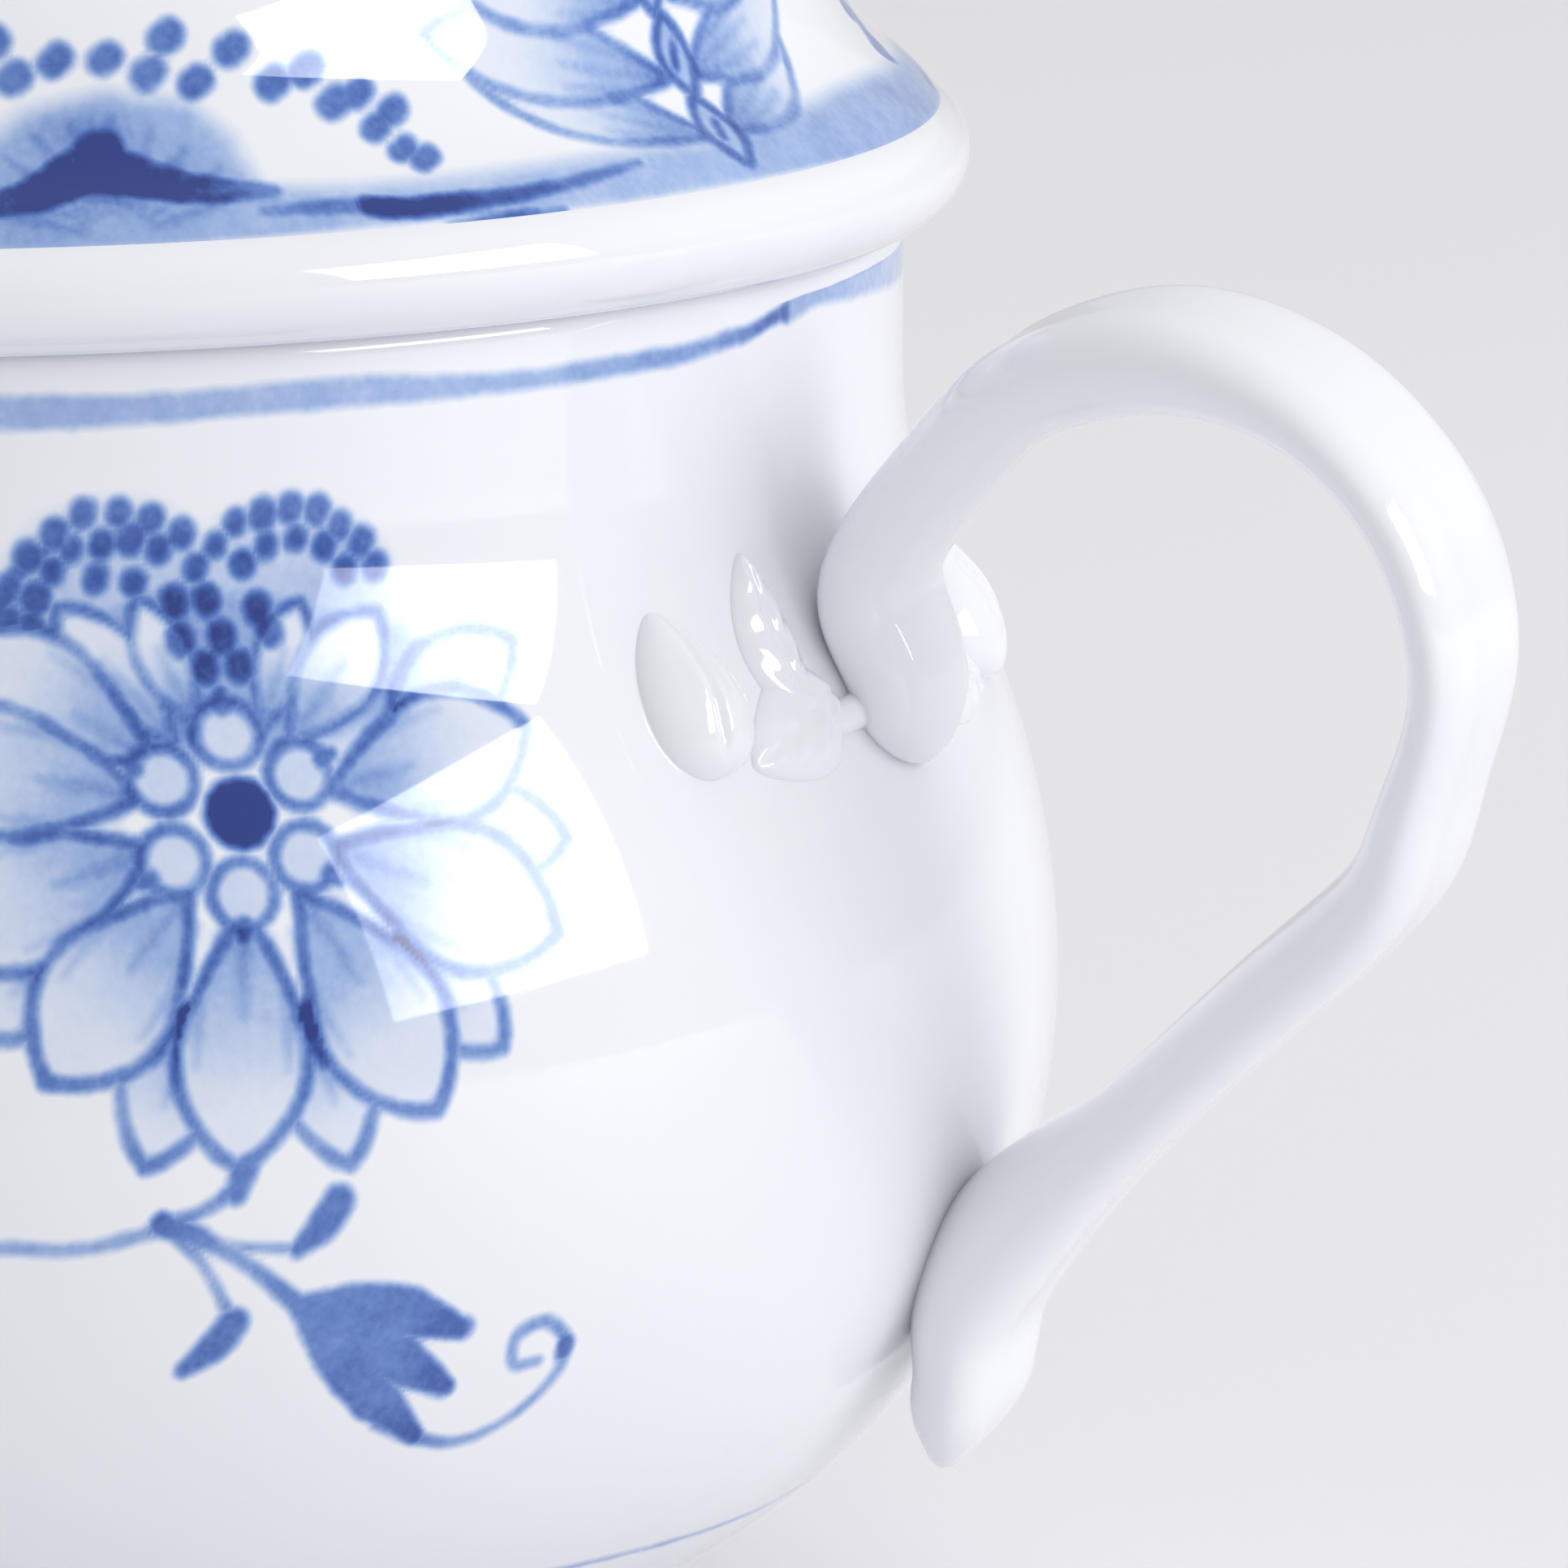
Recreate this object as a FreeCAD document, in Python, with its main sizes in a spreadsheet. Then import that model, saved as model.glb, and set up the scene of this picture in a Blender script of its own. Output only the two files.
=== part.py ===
import FreeCAD, Part
import math
import os
import re

import Sketcher
from FreeCAD import Placement, Rotation, Vector

# A covered porcelain sugar bowl. Millimetres, +Z up, foot on Z = 0, handles on +X and -X.
# Every separately thrown, pulled or pressed piece of clay is one object.

DRIVING_SIZES = [
    ("belly_radius", 44.95, "widest outside radius of the bowl"),
    ("belly_height", 26, "height of that widest ring"),
    ("base_arc", 23.6, "radius of the curve from belly to foot"),
    ("shoulder_arc", 32, "radius of the curve from belly up to the shoulder"),
    ("neck_radius", 39.1, "outside radius of the upright neck"),
    ("neck_height", 49.05, "height where the neck turns upright"),
    ("bowl_height", 55, "height of the lip"),
    ("bowl_wall", 2.8, "wall thickness of the bowl"),
    ("floor_height", 5.8, "height of the floor inside"),
    ("foot_height", 3.4, "height of the foot ring"),
    ("foot_recess", 2.6, "height of the hollow under the floor, inside the foot ring"),
    ("foot_width", 2.7, "width of the foot ring"),
    ("lip_round", 0.9, "rounding of the lip's edges"),
    ("seat_gap", 0.1, "glaze gap between lip and lid"),
    ("rim_radius", 41.65, "outside radius of the lid's rolled rim"),
    ("rim_depth", 3.9, "height of the rolled rim"),
    ("rim_arc", 2.1, "radius of the rolled rim's section"),
    ("dome_radius", 36.0, "radius of the dome where it meets its flare"),
    ("dome_height", 9.75, "height of that ring above the rim's underside"),
    ("dome_arc", 17, "radius of the dome's shoulder"),
    ("dome_start", 14, "angle of the dome's shoulder where it starts, degrees"),
    ("dome_end", 60, "angle of the dome's shoulder where the crown starts, degrees"),
    ("lid_wall", 2.6, "wall thickness of the lid"),
    ("flange_radius", 35.5, "outside radius of the lid's locating flange"),
    ("flange_depth", 4.9, "how far the flange reaches into the neck"),
    ("flange_wall", 2.1, "thickness of the flange"),
    ("handle_reach", 64.95, "distance of the handle's outermost centre point from the axis"),
    ("handle_loop", 10.85, "radius of the handle's round loop"),
    ("handle_height", 42.4, "height of the loop's centre"),
    ("handle_lean", 8, "how far the hand-set handle leans about that centre, degrees"),
    ("strap_width", 8.0, "width of the handle strap"),
    ("strap_thickness", 2.8, "thickness of the handle strap"),
    ("strap_channel", 0.35, "depth of the shallow channel along the strap's outer face"),
    ("bud_length", 6.6, "length of a relief bud"),
    ("bud_width", 4.8, "width of a relief bud"),
    ("rose_length", 13.5, "height of the rosebud on the lid"),
    ("rose_width", 12.0, "width of the closed rosebud"),
    ("stalk_height", 4.6, "height of the stalk under the rosebud"),
    ("petal_thickness", 1.1, "thickness of a rosebud petal"),
    ("leaf_length", 14.0, "length of a leaf on the lid"),
    ("leaf_width", 7.4, "width of a leaf on the lid"),
]

NECK_SWELL = "(belly_radius - neck_radius)"
NECK_DROP = "(neck_height - belly_height)"
BOTH_ARCS = f"(({NECK_DROP}^2 + {NECK_SWELL}^2) / (2 * {NECK_SWELL}))"
NECK_ARC = f"({BOTH_ARCS} - shoulder_arc)"


def bind(text):
    """Turn a formula of size names into a FreeCAD expression on the size sheet."""
    return re.sub(r"\b([a-z]+_[a-z]+)\b", r"Sizes.\1", text)


def make_sheet(doc):
    sheet = doc.addObject("Spreadsheet::Sheet", "Sizes")
    for row, (name, value, meaning) in enumerate(DRIVING_SIZES, 1):
        sheet.set(f"A{row}", meaning)
        sheet.set(f"B{row}", str(value))
        sheet.setAlias(f"B{row}", name)
    doc.recompute()
    return sheet


def number(sheet, text):
    """Value of a formula of size names."""
    return float(sheet.evalExpression(bind(text)))


def make_body(doc, label):
    body = doc.addObject("PartDesign::Body", label)
    body.Label = label
    return body


def bind_point(sketch, side, end, place):
    """Hold one end of a side at a place given by two formulas."""
    for kind, axis, formula in (("DistanceX", -2, place[0]), ("DistanceY", -1, place[1])):
        if formula == "0":
            sketch.addConstraint(Sketcher.Constraint("PointOnObject", side, end, axis))
        else:
            value = number(sketch.Document.Sizes, formula)
            index = sketch.addConstraint(Sketcher.Constraint(kind, -1, 1, side, end, value))
            sketch.setExpression(f"Constraints[{index}]", bind(formula))


def arc_between(start, finish, radius, turn):
    """Short arc from start to finish that turns left or right on its way."""
    chord = finish - start
    side = 1 if turn == "left" else -1
    across = Vector(-chord.y, chord.x, 0).normalize() * side
    centre = (start + finish) * 0.5 + across * math.sqrt(radius ** 2 - chord.Length ** 2 / 4)
    first, last = (start, finish) if turn == "left" else (finish, start)
    angles = [math.atan2(p.y - centre.y, p.x - centre.x) for p in (first, last)]
    return Part.ArcOfCircle(Part.Circle(centre, Vector(0, 0, 1), radius), *angles)


def draw_section(body, name, corners):
    """Closed half-section in the XZ plane. A corner is (x, z), or (x, z, radius, turn) if an arc follows."""
    sizes = body.Document.Sizes
    sketch = body.newObject("Sketcher::SketchObject", name)
    plane = next(o for o in body.Origin.OriginFeatures if o.Role == "XZ_Plane")
    sketch.AttachmentSupport = (plane, [""])
    sketch.MapMode = "FlatFace"
    points = [Vector(number(sizes, c[0]), number(sizes, c[1]), 0) for c in corners]
    ends = []
    for side, corner in enumerate(corners):
        start, finish = points[side], points[(side + 1) % len(points)]
        if len(corner) == 2:
            sketch.addGeometry(Part.LineSegment(start, finish), False)
            ends.append((1, 2))
        else:
            sketch.addGeometry(arc_between(start, finish, number(sizes, corner[2]), corner[3]), False)
            ends.append((1, 2) if corner[3] == "left" else (2, 1))
    for side, corner in enumerate(corners):
        after = (side + 1) % len(corners)
        sketch.addConstraint(Sketcher.Constraint("Coincident", side, ends[side][1], after, ends[after][0]))
        bind_point(sketch, side, ends[side][0], corner)
        if len(corner) > 2:
            value = number(sizes, corner[2])
            index = sketch.addConstraint(Sketcher.Constraint("Radius", side, value))
            sketch.setExpression(f"Constraints[{index}]", bind(corner[2]))
    return sketch


def revolve(body, sketch):
    turned = body.newObject("PartDesign::Revolution", body.Label + "_turned")
    turned.Profile = sketch
    turned.ReferenceAxis = (sketch, ["V_Axis"])
    turned.Angle = 360
    sketch.Visibility = False
    body.Tip = turned


def on_circle(centre_x, radius, height_above):
    """Formula for the x of a circle's point that lies a given height above its centre."""
    return f"{centre_x} + sqrt(({radius})^2 - ({height_above})^2)"


def bowl_side(offset):
    """Corners of the bowl's side from foot to neck, moved inwards by an offset formula."""
    base = f"(base_arc - {offset})"
    shoulder = f"(shoulder_arc - {offset})"
    neck = f"({NECK_ARC} + {offset})"
    start = "foot_height" if offset == "0" else "floor_height"
    shoulder_centre = "(belly_radius - shoulder_arc)"
    rise = f"{NECK_DROP} / {BOTH_ARCS}"
    run = f"(1 - {NECK_SWELL} / {BOTH_ARCS})"
    return {
        "base": (on_circle("(belly_radius - base_arc)", base, f"(belly_height - {start})"), start),
        "base_arc": base,
        "belly": (f"belly_radius - {offset}", "belly_height"),
        "shoulder_arc": shoulder,
        "shoulder": (f"{shoulder_centre} + {shoulder} * {run}", f"belly_height + {shoulder} * {rise}"),
        "neck_arc": neck,
        "neck": (f"neck_radius - {offset}", "neck_height"),
        "lip": (f"neck_radius - {offset}", "(bowl_height - lip_round)"),
    }


def make_bowl(doc):
    """Thrown bowl: foot ring, round belly, shoulder, upright neck and rounded lip."""
    body = make_body(doc, "bowl_body")
    out = bowl_side("0")
    inn = bowl_side("bowl_wall")
    foot = out["base"][0]
    corners = [
        ("0", "foot_recess"),
        (f"{foot} - foot_width - 0.8", "foot_recess"),
        (f"{foot} - foot_width", "0"),
        (f"{foot} - 0.5", "0", "0.5", "left"),
        (foot, "0.5"),
        (*out["base"], out["base_arc"], "left"),
        (*out["belly"], out["shoulder_arc"], "left"),
        (*out["shoulder"], out["neck_arc"], "right"),
        out["neck"],
        (*out["lip"], "lip_round", "left"),
        (f"{out['lip'][0]} - lip_round", "bowl_height"),
        (f"{inn['lip'][0]} + lip_round", "bowl_height", "lip_round", "left"),
        inn["lip"],
        (*inn["neck"], inn["neck_arc"], "left"),
        (*inn["shoulder"], inn["shoulder_arc"], "right"),
        (*inn["belly"], inn["base_arc"], "right"),
        inn["base"],
        ("0", "floor_height"),
    ]
    revolve(body, draw_section(body, "bowl_section", corners))


def make_lid(doc):
    """Thrown lid: crown, dome, flare, rolled rim, flat seat and a locating flange."""
    body = make_body(doc, "lid")
    seat = "(bowl_height + seat_gap)"
    ring = f"({seat} + dome_height)"
    centre_x = "(dome_radius - dome_arc * cos(dome_start * 1deg))"
    centre_z = f"({ring} - dome_arc * sin(dome_start * 1deg))"
    inner = "(dome_arc - lid_wall)"

    def dome_point(radius, angle):
        across = f"{centre_x} + {radius} * cos({angle} * 1deg)"
        up = f"{centre_z} + {radius} * sin({angle} * 1deg)"
        return (across, up)

    def crown(radius):
        """Radius and top height of the crown arc that carries a dome arc on to the axis."""
        x, z = dome_point(radius, "dome_end")
        arc = f"(({x}) / cos(dome_end * 1deg))"
        return arc, f"({z}) + {arc} * (1 - sin(dome_end * 1deg))"

    outer_crown, outer_top = crown("dome_arc")
    inner_crown, inner_top = crown(inner)
    corners = [
        ("0", outer_top, outer_crown, "right"),
        (*dome_point("dome_arc", "dome_end"), "dome_arc", "right"),
        ("dome_radius", ring, "7.5", "left"),
        ("dome_radius + 2.9", f"{ring} - 4.25", "7.0", "right"),
        ("rim_radius - 1.15", f"{seat} + rim_depth", "rim_arc", "right"),
        ("rim_radius - 1.0", f"{seat} + 0.25"),
        ("rim_radius - 1.6", seat),
        ("flange_radius", seat),
        ("flange_radius", f"{seat} - flange_depth + 0.6"),
        ("flange_radius - 0.6", f"{seat} - flange_depth"),
        ("flange_radius - flange_wall", f"{seat} - flange_depth"),
        (*dome_point(inner, "dome_start"), inner, "left"),
        (*dome_point(inner, "dome_end"), inner_crown, "left"),
        ("0", inner_top),
    ]
    revolve(body, draw_section(body, "lid_section", corners))
    return number(doc.Sizes, outer_top)


def make_bud(doc, label, section):
    """Turned bud standing on the origin along Z, from a list of corners."""
    body = make_body(doc, label)
    revolve(body, draw_section(body, label + "_section", section))
    return body


def rose_core(doc, label):
    """Closed heart of the rosebud, from its base in the calyx to its tip."""
    return make_bud(doc, label, [
        ("0", "0"),
        ("rose_width * 0.24", "0", "rose_length * 0.42", "left"),
        ("rose_width * 0.5", "rose_length * 0.4", "rose_length * 0.62", "left"),
        ("rose_width * 0.09", "rose_length * 0.97"),
        ("0", "rose_length"),
    ])


def rose_stalk(doc, label):
    """Waisted stalk that spreads on the lid and opens into the calyx under the bud."""
    return make_bud(doc, label, [
        ("0", "-0.9"),
        ("rose_width * 0.56", "-0.9"),
        ("rose_width * 0.56", "-0.1", "stalk_height * 0.75", "left"),
        ("rose_width * 0.27", "stalk_height * 0.62", "stalk_height * 0.6", "right"),
        ("rose_width * 0.40", "stalk_height * 1.12"),
        ("0", "stalk_height * 1.12"),
    ])


def closed_curve(points):
    curve = Part.BSplineCurve()
    curve.interpolate(points, PeriodicFlag=True)
    return Part.Wire(curve.toShape())


def loft(sections):
    solid = Part.makeLoft([closed_curve(points) for points in sections], True, False)
    return solid if solid.Volume > 0 else solid.reversed()


def relief_bud(length, width):
    """Pear-shaped relief bud along Z, fat at its foot and drawn out to a blunt tip."""
    sections = []
    for step in range(11):
        at = 0.02 + 0.96 * step / 10
        radius = width / 2 * math.sin(math.pi * at ** 0.72) ** 0.62
        ring = [2 * math.pi * k / 10 for k in range(10)]
        height = (at - 0.42) * length
        sections.append([Vector(radius * math.cos(a), radius * math.sin(a), height) for a in ring])
    return loft(sections)


def add_shape(doc, label, shape, placement):
    feature = doc.addObject("Part::Feature", label)
    feature.Label = label
    feature.Shape = shape
    feature.Placement = placement
    return feature


def bowl_radius(size, height):
    """Outside radius of the bowl at a height between foot and lip."""
    if height > size["neck_height"]:
        return size["neck_radius"]
    rise = height - size["belly_height"]
    if rise < 0:
        return size["belly_radius"] - size["base_arc"] + math.sqrt(size["base_arc"] ** 2 - rise ** 2)
    swell = size["belly_radius"] - size["neck_radius"]
    drop = size["neck_height"] - size["belly_height"]
    both = (drop ** 2 + swell ** 2) / (2 * swell)
    if rise < size["shoulder_arc"] * drop / both:
        return size["belly_radius"] - size["shoulder_arc"] + math.sqrt(size["shoulder_arc"] ** 2 - rise ** 2)
    neck_arc = both - size["shoulder_arc"]
    return size["neck_radius"] + neck_arc - math.sqrt(neck_arc ** 2 - (height - size["neck_height"]) ** 2)


def blend(stations, at):
    """Smooth value between stations of (position, value)."""
    for (low, first), (high, last) in zip(stations, stations[1:]):
        if at <= high:
            share = (at - low) / (high - low)
            share = share * share * (3 - 2 * share)
            return first + (last - first) * share
    return stations[-1][1]


def handle_path(size):
    """Centre line of the strap in the XZ plane: tongue on the shoulder, loop, straight run, foot and tail."""
    def beside(height, lift):
        return Vector(bowl_radius(size, height) + lift, 0, height)

    points = [beside(36.8, 0.4), beside(40.4, 1.15), beside(44.2, 2.1)]
    centre = Vector(size["handle_reach"] - size["handle_loop"], 0, size["handle_height"])
    for angle in (142, 118, 88, 58, 28, -2, -31):
        turn = math.radians(angle)
        points.append(centre + Vector(math.cos(turn), 0, math.sin(turn)) * size["handle_loop"])
    start = Vector(61.6, 0, 33.0)
    foot = beside(19.2, 2.5)
    points += [start + (foot - start) * share for share in (0, 0.33, 0.67, 1)]
    points += [beside(16.0, 1.75), beside(13.2, 2.8), beside(10.9, 3.7), beside(9.4, 4.3)]
    curve = Part.BSplineCurve()
    curve.interpolate(points)
    return curve


def strap_section(width, thickness, channel):
    """Rounded bar, hollowed along its outer face, as (across, outwards) pairs."""
    half = width / 2
    outer_shares = (-0.74, -0.4, 0, 0.4, 0.74)
    outer = [(share * half, thickness / 2 - channel * (1 - (share / 0.74) ** 2)) for share in outer_shares]
    inner = [(share * half, -thickness * (0.5 - 0.06 * abs(share))) for share in (0.72, 0, -0.72)]
    return outer + [(half, thickness * 0.18), (half, -thickness * 0.2)] + inner + [
        (-half, -thickness * 0.2), (-half, thickness * 0.18)]


def handle_shape(size):
    """Pulled strap handle: spoon-shaped tongue, channelled loop and a leaf-shaped tail."""
    width = [(0, 0.22), (0.025, 0.56), (0.07, 0.82), (0.16, 0.92), (0.5, 1), (0.8, 0.98),
             (0.9, 1.06), (0.955, 0.86), (0.985, 0.5), (1, 0.16)]
    thickness = [(0, 0.4), (0.05, 0.75), (0.15, 0.95), (0.27, 1.4), (0.42, 0.84), (0.52, 0.8), (0.66, 1.15),
                 (0.78, 1.1), (0.88, 1.6), (0.945, 0.85), (1, 0.4)]
    curve = handle_path(size)
    length = curve.length()
    stations = [0, 0.012, 0.03, 0.06, 0.1] + [0.15 + 0.05 * step for step in range(15)] + [
        0.89, 0.925, 0.955, 0.975, 0.99, 1]
    sections = []
    for at in stations:
        place = curve.parameterAtDistance(length * at, curve.FirstParameter)
        centre = curve.value(place)
        along = curve.tangent(place)[0]
        across = Vector(0, 1, 0)
        outwards = Vector(-along.z, 0, along.x)
        wide = size["strap_width"] * blend(width, at)
        thick = size["strap_thickness"] * blend(thickness, at)
        channel = size["strap_channel"] * min(1, wide / size["strap_width"]) * min(1, 12 * at, 12 * (1 - at))
        sections.append([centre + across * u + outwards * v for u, v in strap_section(wide, thick, channel)])
    strap = loft(sections)
    strap.rotate(Vector(0, 0, size["handle_height"]), Vector(1, 0, 0), size["handle_lean"])
    return strap


def leaf_shape(length, width, rise, sink, fullness, bend):
    """Leaf along X with a raised middle. Fullness below 1 widens its foot. Bend is its arc."""
    sections = []
    for step in range(11):
        at = 0.02 + 0.96 * step / 10
        taper = math.sin(math.pi * at ** fullness) ** 0.7
        half = width / 2 * taper
        high = rise * taper ** 0.6
        low = -sink * taper ** 0.6
        angle = at * length / bend
        out = Vector(math.sin(angle), 0, math.cos(angle))
        centre = Vector(bend * math.sin(angle), 0, bend * math.cos(angle) - bend)
        upper = [(-1, 0), (-0.6, 0.7 * high), (0, high), (0.6, 0.7 * high)]
        lens = upper + [(1, 0), (0.6, 0.8 * low), (-0.6, 0.8 * low)]
        sections.append([centre + Vector(0, half * u, 0) + out * v for u, v in lens])
    return loft(sections)


def petal_shape(size, spread, inner, top):
    """Petal wrapped round the rosebud: a curved shell whose top edge is rounded and leans out a little."""
    foot = size["rose_length"] * 0.10
    face = []
    for share in (0, 0.3, 0.6, 0.85, 1):
        height = foot + (top - foot) * share
        swell = math.sin(math.pi * min(0.85, 0.16 + 0.74 * height / size["rose_length"]))
        face.append(Vector(inner * (0.36 + 0.64 * swell) + 0.7 * share ** 3, 0, height))
    thick = [0.5, 0.9, 1, 0.9, 0.5]
    back = [point + Vector(size["petal_thickness"] * part, 0, 0) for point, part in zip(face, thick)]
    petal_face = Part.Face(closed_curve(back + face[::-1]))
    petal_face.rotate(Vector(), Vector(0, 0, 1), -spread / 2)
    shell = petal_face.revolve(Vector(), Vector(0, 0, 1), spread)
    round_radius = inner * 1.36
    trim = Part.makeCylinder(round_radius, 20, Vector(0, 0, top + 0.2 - round_radius), Vector(1, 0, 0))
    return shell.common(trim).Solids[0]


def surface_place(size, angle, height, lean, lift, side, mirror):
    """Placement on the bowl: Z outwards, X along a direction that leans from upright away from the handle."""
    step = 0.05
    slope = (bowl_radius(size, height + step) - bowl_radius(size, height - step)) / (2 * step)
    turn = math.radians(side - mirror * angle)
    radial = Vector(math.cos(turn), math.sin(turn), 0)
    sideways = Vector(math.sin(turn), -math.cos(turn), 0) * mirror
    upwards = (radial * slope + Vector(0, 0, 1)).normalize()
    outwards = (radial - Vector(0, 0, slope)).normalize()
    tilt = math.radians(lean)
    along = upwards * math.cos(tilt) + sideways * math.sin(tilt)
    point = radial * bowl_radius(size, height) + Vector(0, 0, height) + outwards * lift
    return point, along, outwards


def frame_place(point, along, outwards):
    """Placement whose X runs along the first direction and whose Z points outwards."""
    return Placement(point, Rotation(along, outwards.cross(along), outwards, "ZXY"))


def stem_shape(size, side, mirror):
    """Thin round stem on the bowl from the handle's root to the foot of the bud."""
    sections = []
    for step in range(7):
        share = step / 6
        angle = 2.0 + 8.4 * share
        height = 39.3 - 0.9 * math.sin(math.pi * share * 0.9)
        point, along, outwards = surface_place(size, angle, height, 90, 0.15, side, mirror)
        across = outwards.cross(along)
        radius = 0.72 - 0.2 * share
        ring = [2 * math.pi * k / 8 for k in range(8)]
        sections.append([point + (across * math.cos(a) + outwards * math.sin(a)) * radius for a in ring])
    return loft(sections)


def make_sprig(doc, size, name, side, mirror):
    """Relief sprig beside a handle's root: bud, pointed leaf, heart-shaped leaf and stem."""
    bud = relief_bud(size["bud_length"], size["bud_width"])
    point, along, outwards = surface_place(size, 15.4, 40.5, 14, 0.1, side, mirror)
    place = Placement(point, Rotation(outwards, along.cross(outwards), along, "ZXY"))
    add_shape(doc, f"sprig_bud_{name}", bud, place)
    tall = leaf_shape(6.0, 3.3, 0.95, 0.5, 0.8, 60)
    tall_place = frame_place(*surface_place(size, 8.8, 39.8, 2, 0.1, side, mirror))
    add_shape(doc, f"sprig_leaf_tall_{name}", tall, tall_place)
    heart = leaf_shape(4.8, 3.9, 0.85, 0.5, 0.62, 60)
    low_place = frame_place(*surface_place(size, 7.9, 39.2, 112, 0.1, side, mirror))
    add_shape(doc, f"sprig_leaf_low_{name}", heart, low_place)
    add_shape(doc, f"sprig_stem_{name}", stem_shape(size, side, mirror), Placement())


def make_finial(doc, size, crown):
    """Rosebud knob on the lid: stalk, closed heart, four wrapped petals and three spreading leaves."""
    rose_stalk(doc, "finial_stalk").Placement = Placement(Vector(0, 0, crown), Rotation())
    base = crown + size["stalk_height"] * 0.95
    rose_core(doc, "finial_bud").Placement = Placement(Vector(0, 0, base), Rotation())
    for petal in range(4):
        outer = petal % 2
        top = size["rose_length"] * (0.86 - 0.1 * outer)
        shape = petal_shape(size, 128, size["rose_width"] * (0.47 + 0.09 * outer), top)
        place = Placement(Vector(0, 0, base), Rotation(Vector(0, 0, 1), 90 * petal + 20))
        add_shape(doc, f"finial_petal_{petal + 1}", shape, place)
    for leaf in range(3):
        shape = leaf_shape(size["leaf_length"], size["leaf_width"], 1.1, 0.5, 0.85, 54)
        start = Vector(2.6, 0, crown + 0.2)
        turn = Rotation(Vector(0, 0, 1), 120 * leaf - 36)
        place = Placement(turn.multVec(start), turn.multiply(Rotation(Vector(0, 1, 0), 3)))
        add_shape(doc, f"finial_leaf_{leaf + 1}", shape, place)


def check_and_export(doc):
    parts = [o for o in doc.Objects if o.TypeId in ("PartDesign::Body", "Part::Feature")]
    for item in doc.Objects:
        if "Invalid" in item.State or "Error" in item.State:
            raise RuntimeError(f"{item.Name} is {item.State}")
    os.makedirs("parts", exist_ok=True)
    for part in parts:
        if part.Shape.isNull() or not part.Shape.isValid() or len(part.Shape.Solids) != 1:
            raise RuntimeError(f"{part.Label} is not one valid solid")
        part.Shape.exportStep(f"parts/{part.Label}.step")


doc = FreeCAD.newDocument("sugar_bowl")
sheet = make_sheet(doc)
size = {name: float(sheet.get(name)) for name, value, meaning in DRIVING_SIZES}
make_bowl(doc)
crown = make_lid(doc)
handle = handle_shape(size)
for side, side_name in ((0, "right"), (180, "left")):
    add_shape(doc, f"handle_{side_name}", handle, Placement(Vector(), Rotation(Vector(0, 0, 1), side)))
    for mirror, face_name in ((1, "front"), (-1, "back")):
        facing = mirror if side == 0 else -mirror
        make_sprig(doc, size, f"{side_name}_{face_name}", side, facing)
make_finial(doc, size, crown)
doc.recompute()
check_and_export(doc)
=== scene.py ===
import math

import bmesh
import bpy
import numpy as np
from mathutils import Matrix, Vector


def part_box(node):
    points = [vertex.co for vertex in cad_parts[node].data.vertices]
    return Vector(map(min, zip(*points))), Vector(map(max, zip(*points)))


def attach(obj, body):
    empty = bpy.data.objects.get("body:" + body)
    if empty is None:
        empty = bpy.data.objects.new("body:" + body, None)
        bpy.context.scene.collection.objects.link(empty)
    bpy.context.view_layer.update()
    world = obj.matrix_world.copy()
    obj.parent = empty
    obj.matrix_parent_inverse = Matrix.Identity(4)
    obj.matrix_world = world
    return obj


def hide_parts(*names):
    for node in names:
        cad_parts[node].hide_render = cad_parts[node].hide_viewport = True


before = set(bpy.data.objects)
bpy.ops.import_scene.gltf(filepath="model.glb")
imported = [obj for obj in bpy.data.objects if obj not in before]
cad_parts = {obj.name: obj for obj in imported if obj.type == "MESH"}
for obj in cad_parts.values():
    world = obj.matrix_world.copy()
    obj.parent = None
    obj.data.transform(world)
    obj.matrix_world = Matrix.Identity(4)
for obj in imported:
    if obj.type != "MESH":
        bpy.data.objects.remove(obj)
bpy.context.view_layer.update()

# Covered sugar bowl: glazed porcelain with underglaze cobalt painting. Shapes are worked out in
# millimetres and written to the meshes in metres. +Z is up, the handles are on +X and -X.

MM = 0.001
SEED = 7

bowl_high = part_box("bowl_body")[1] / MM
lid_low, lid_high = (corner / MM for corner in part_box("lid"))
BELLY = bowl_high.x
LIP = bowl_high.z
RIM = lid_high.x
SEAT = LIP + 0.1
CROWN = lid_high.z
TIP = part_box("finial_bud")[1].z / MM

BELLY_HEIGHT = 26.0
BASE_ARC = 23.6
SHOULDER_ARC = 32.0
NECK = 39.1
NECK_HEIGHT = 49.05
WALL = 2.8
FOOT_HEIGHT = 3.4
FOOT_WIDTH = 2.7
FLOOR = 5.8

CREASE = 3.9
DOME = 36.0
DOME_RING = SEAT + 9.75
DOME_ARC = 17.0
DOME_START = 14.0
DOME_END = 60.0
LID_WALL = 2.6
FLANGE = 35.5


# ---------------------------------------------------------------- curves and surfaces

def smooth(x):
    """Smooth step from 0 to 1."""
    x = np.clip(x, 0, 1)
    return x * x * (3 - 2 * x)


def blend(stations, at):
    """Smooth value between stations of (position, value); at may be an array."""
    places = [place for place, value in stations]
    values = [value for place, value in stations]
    at = np.clip(np.asarray(at, float), places[0], places[-1])
    index = np.clip(np.searchsorted(places, at, "right") - 1, 0, len(places) - 2)
    low = np.take(places, index)
    share = smooth((at - low) / (np.take(places, index + 1) - low))
    return np.take(values, index) * (1 - share) + np.take(values, index + 1) * share


def arc(centre, radius, start, end, step=0.25):
    """Points of an arc in the (radius, height) plane, between two angles in degrees."""
    count = max(2, int(abs(math.radians(end - start)) * radius / step) + 1)
    turn = np.radians(np.linspace(start, end, count))
    return np.column_stack((centre[0] + radius * np.cos(turn), centre[1] + radius * np.sin(turn)))


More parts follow.
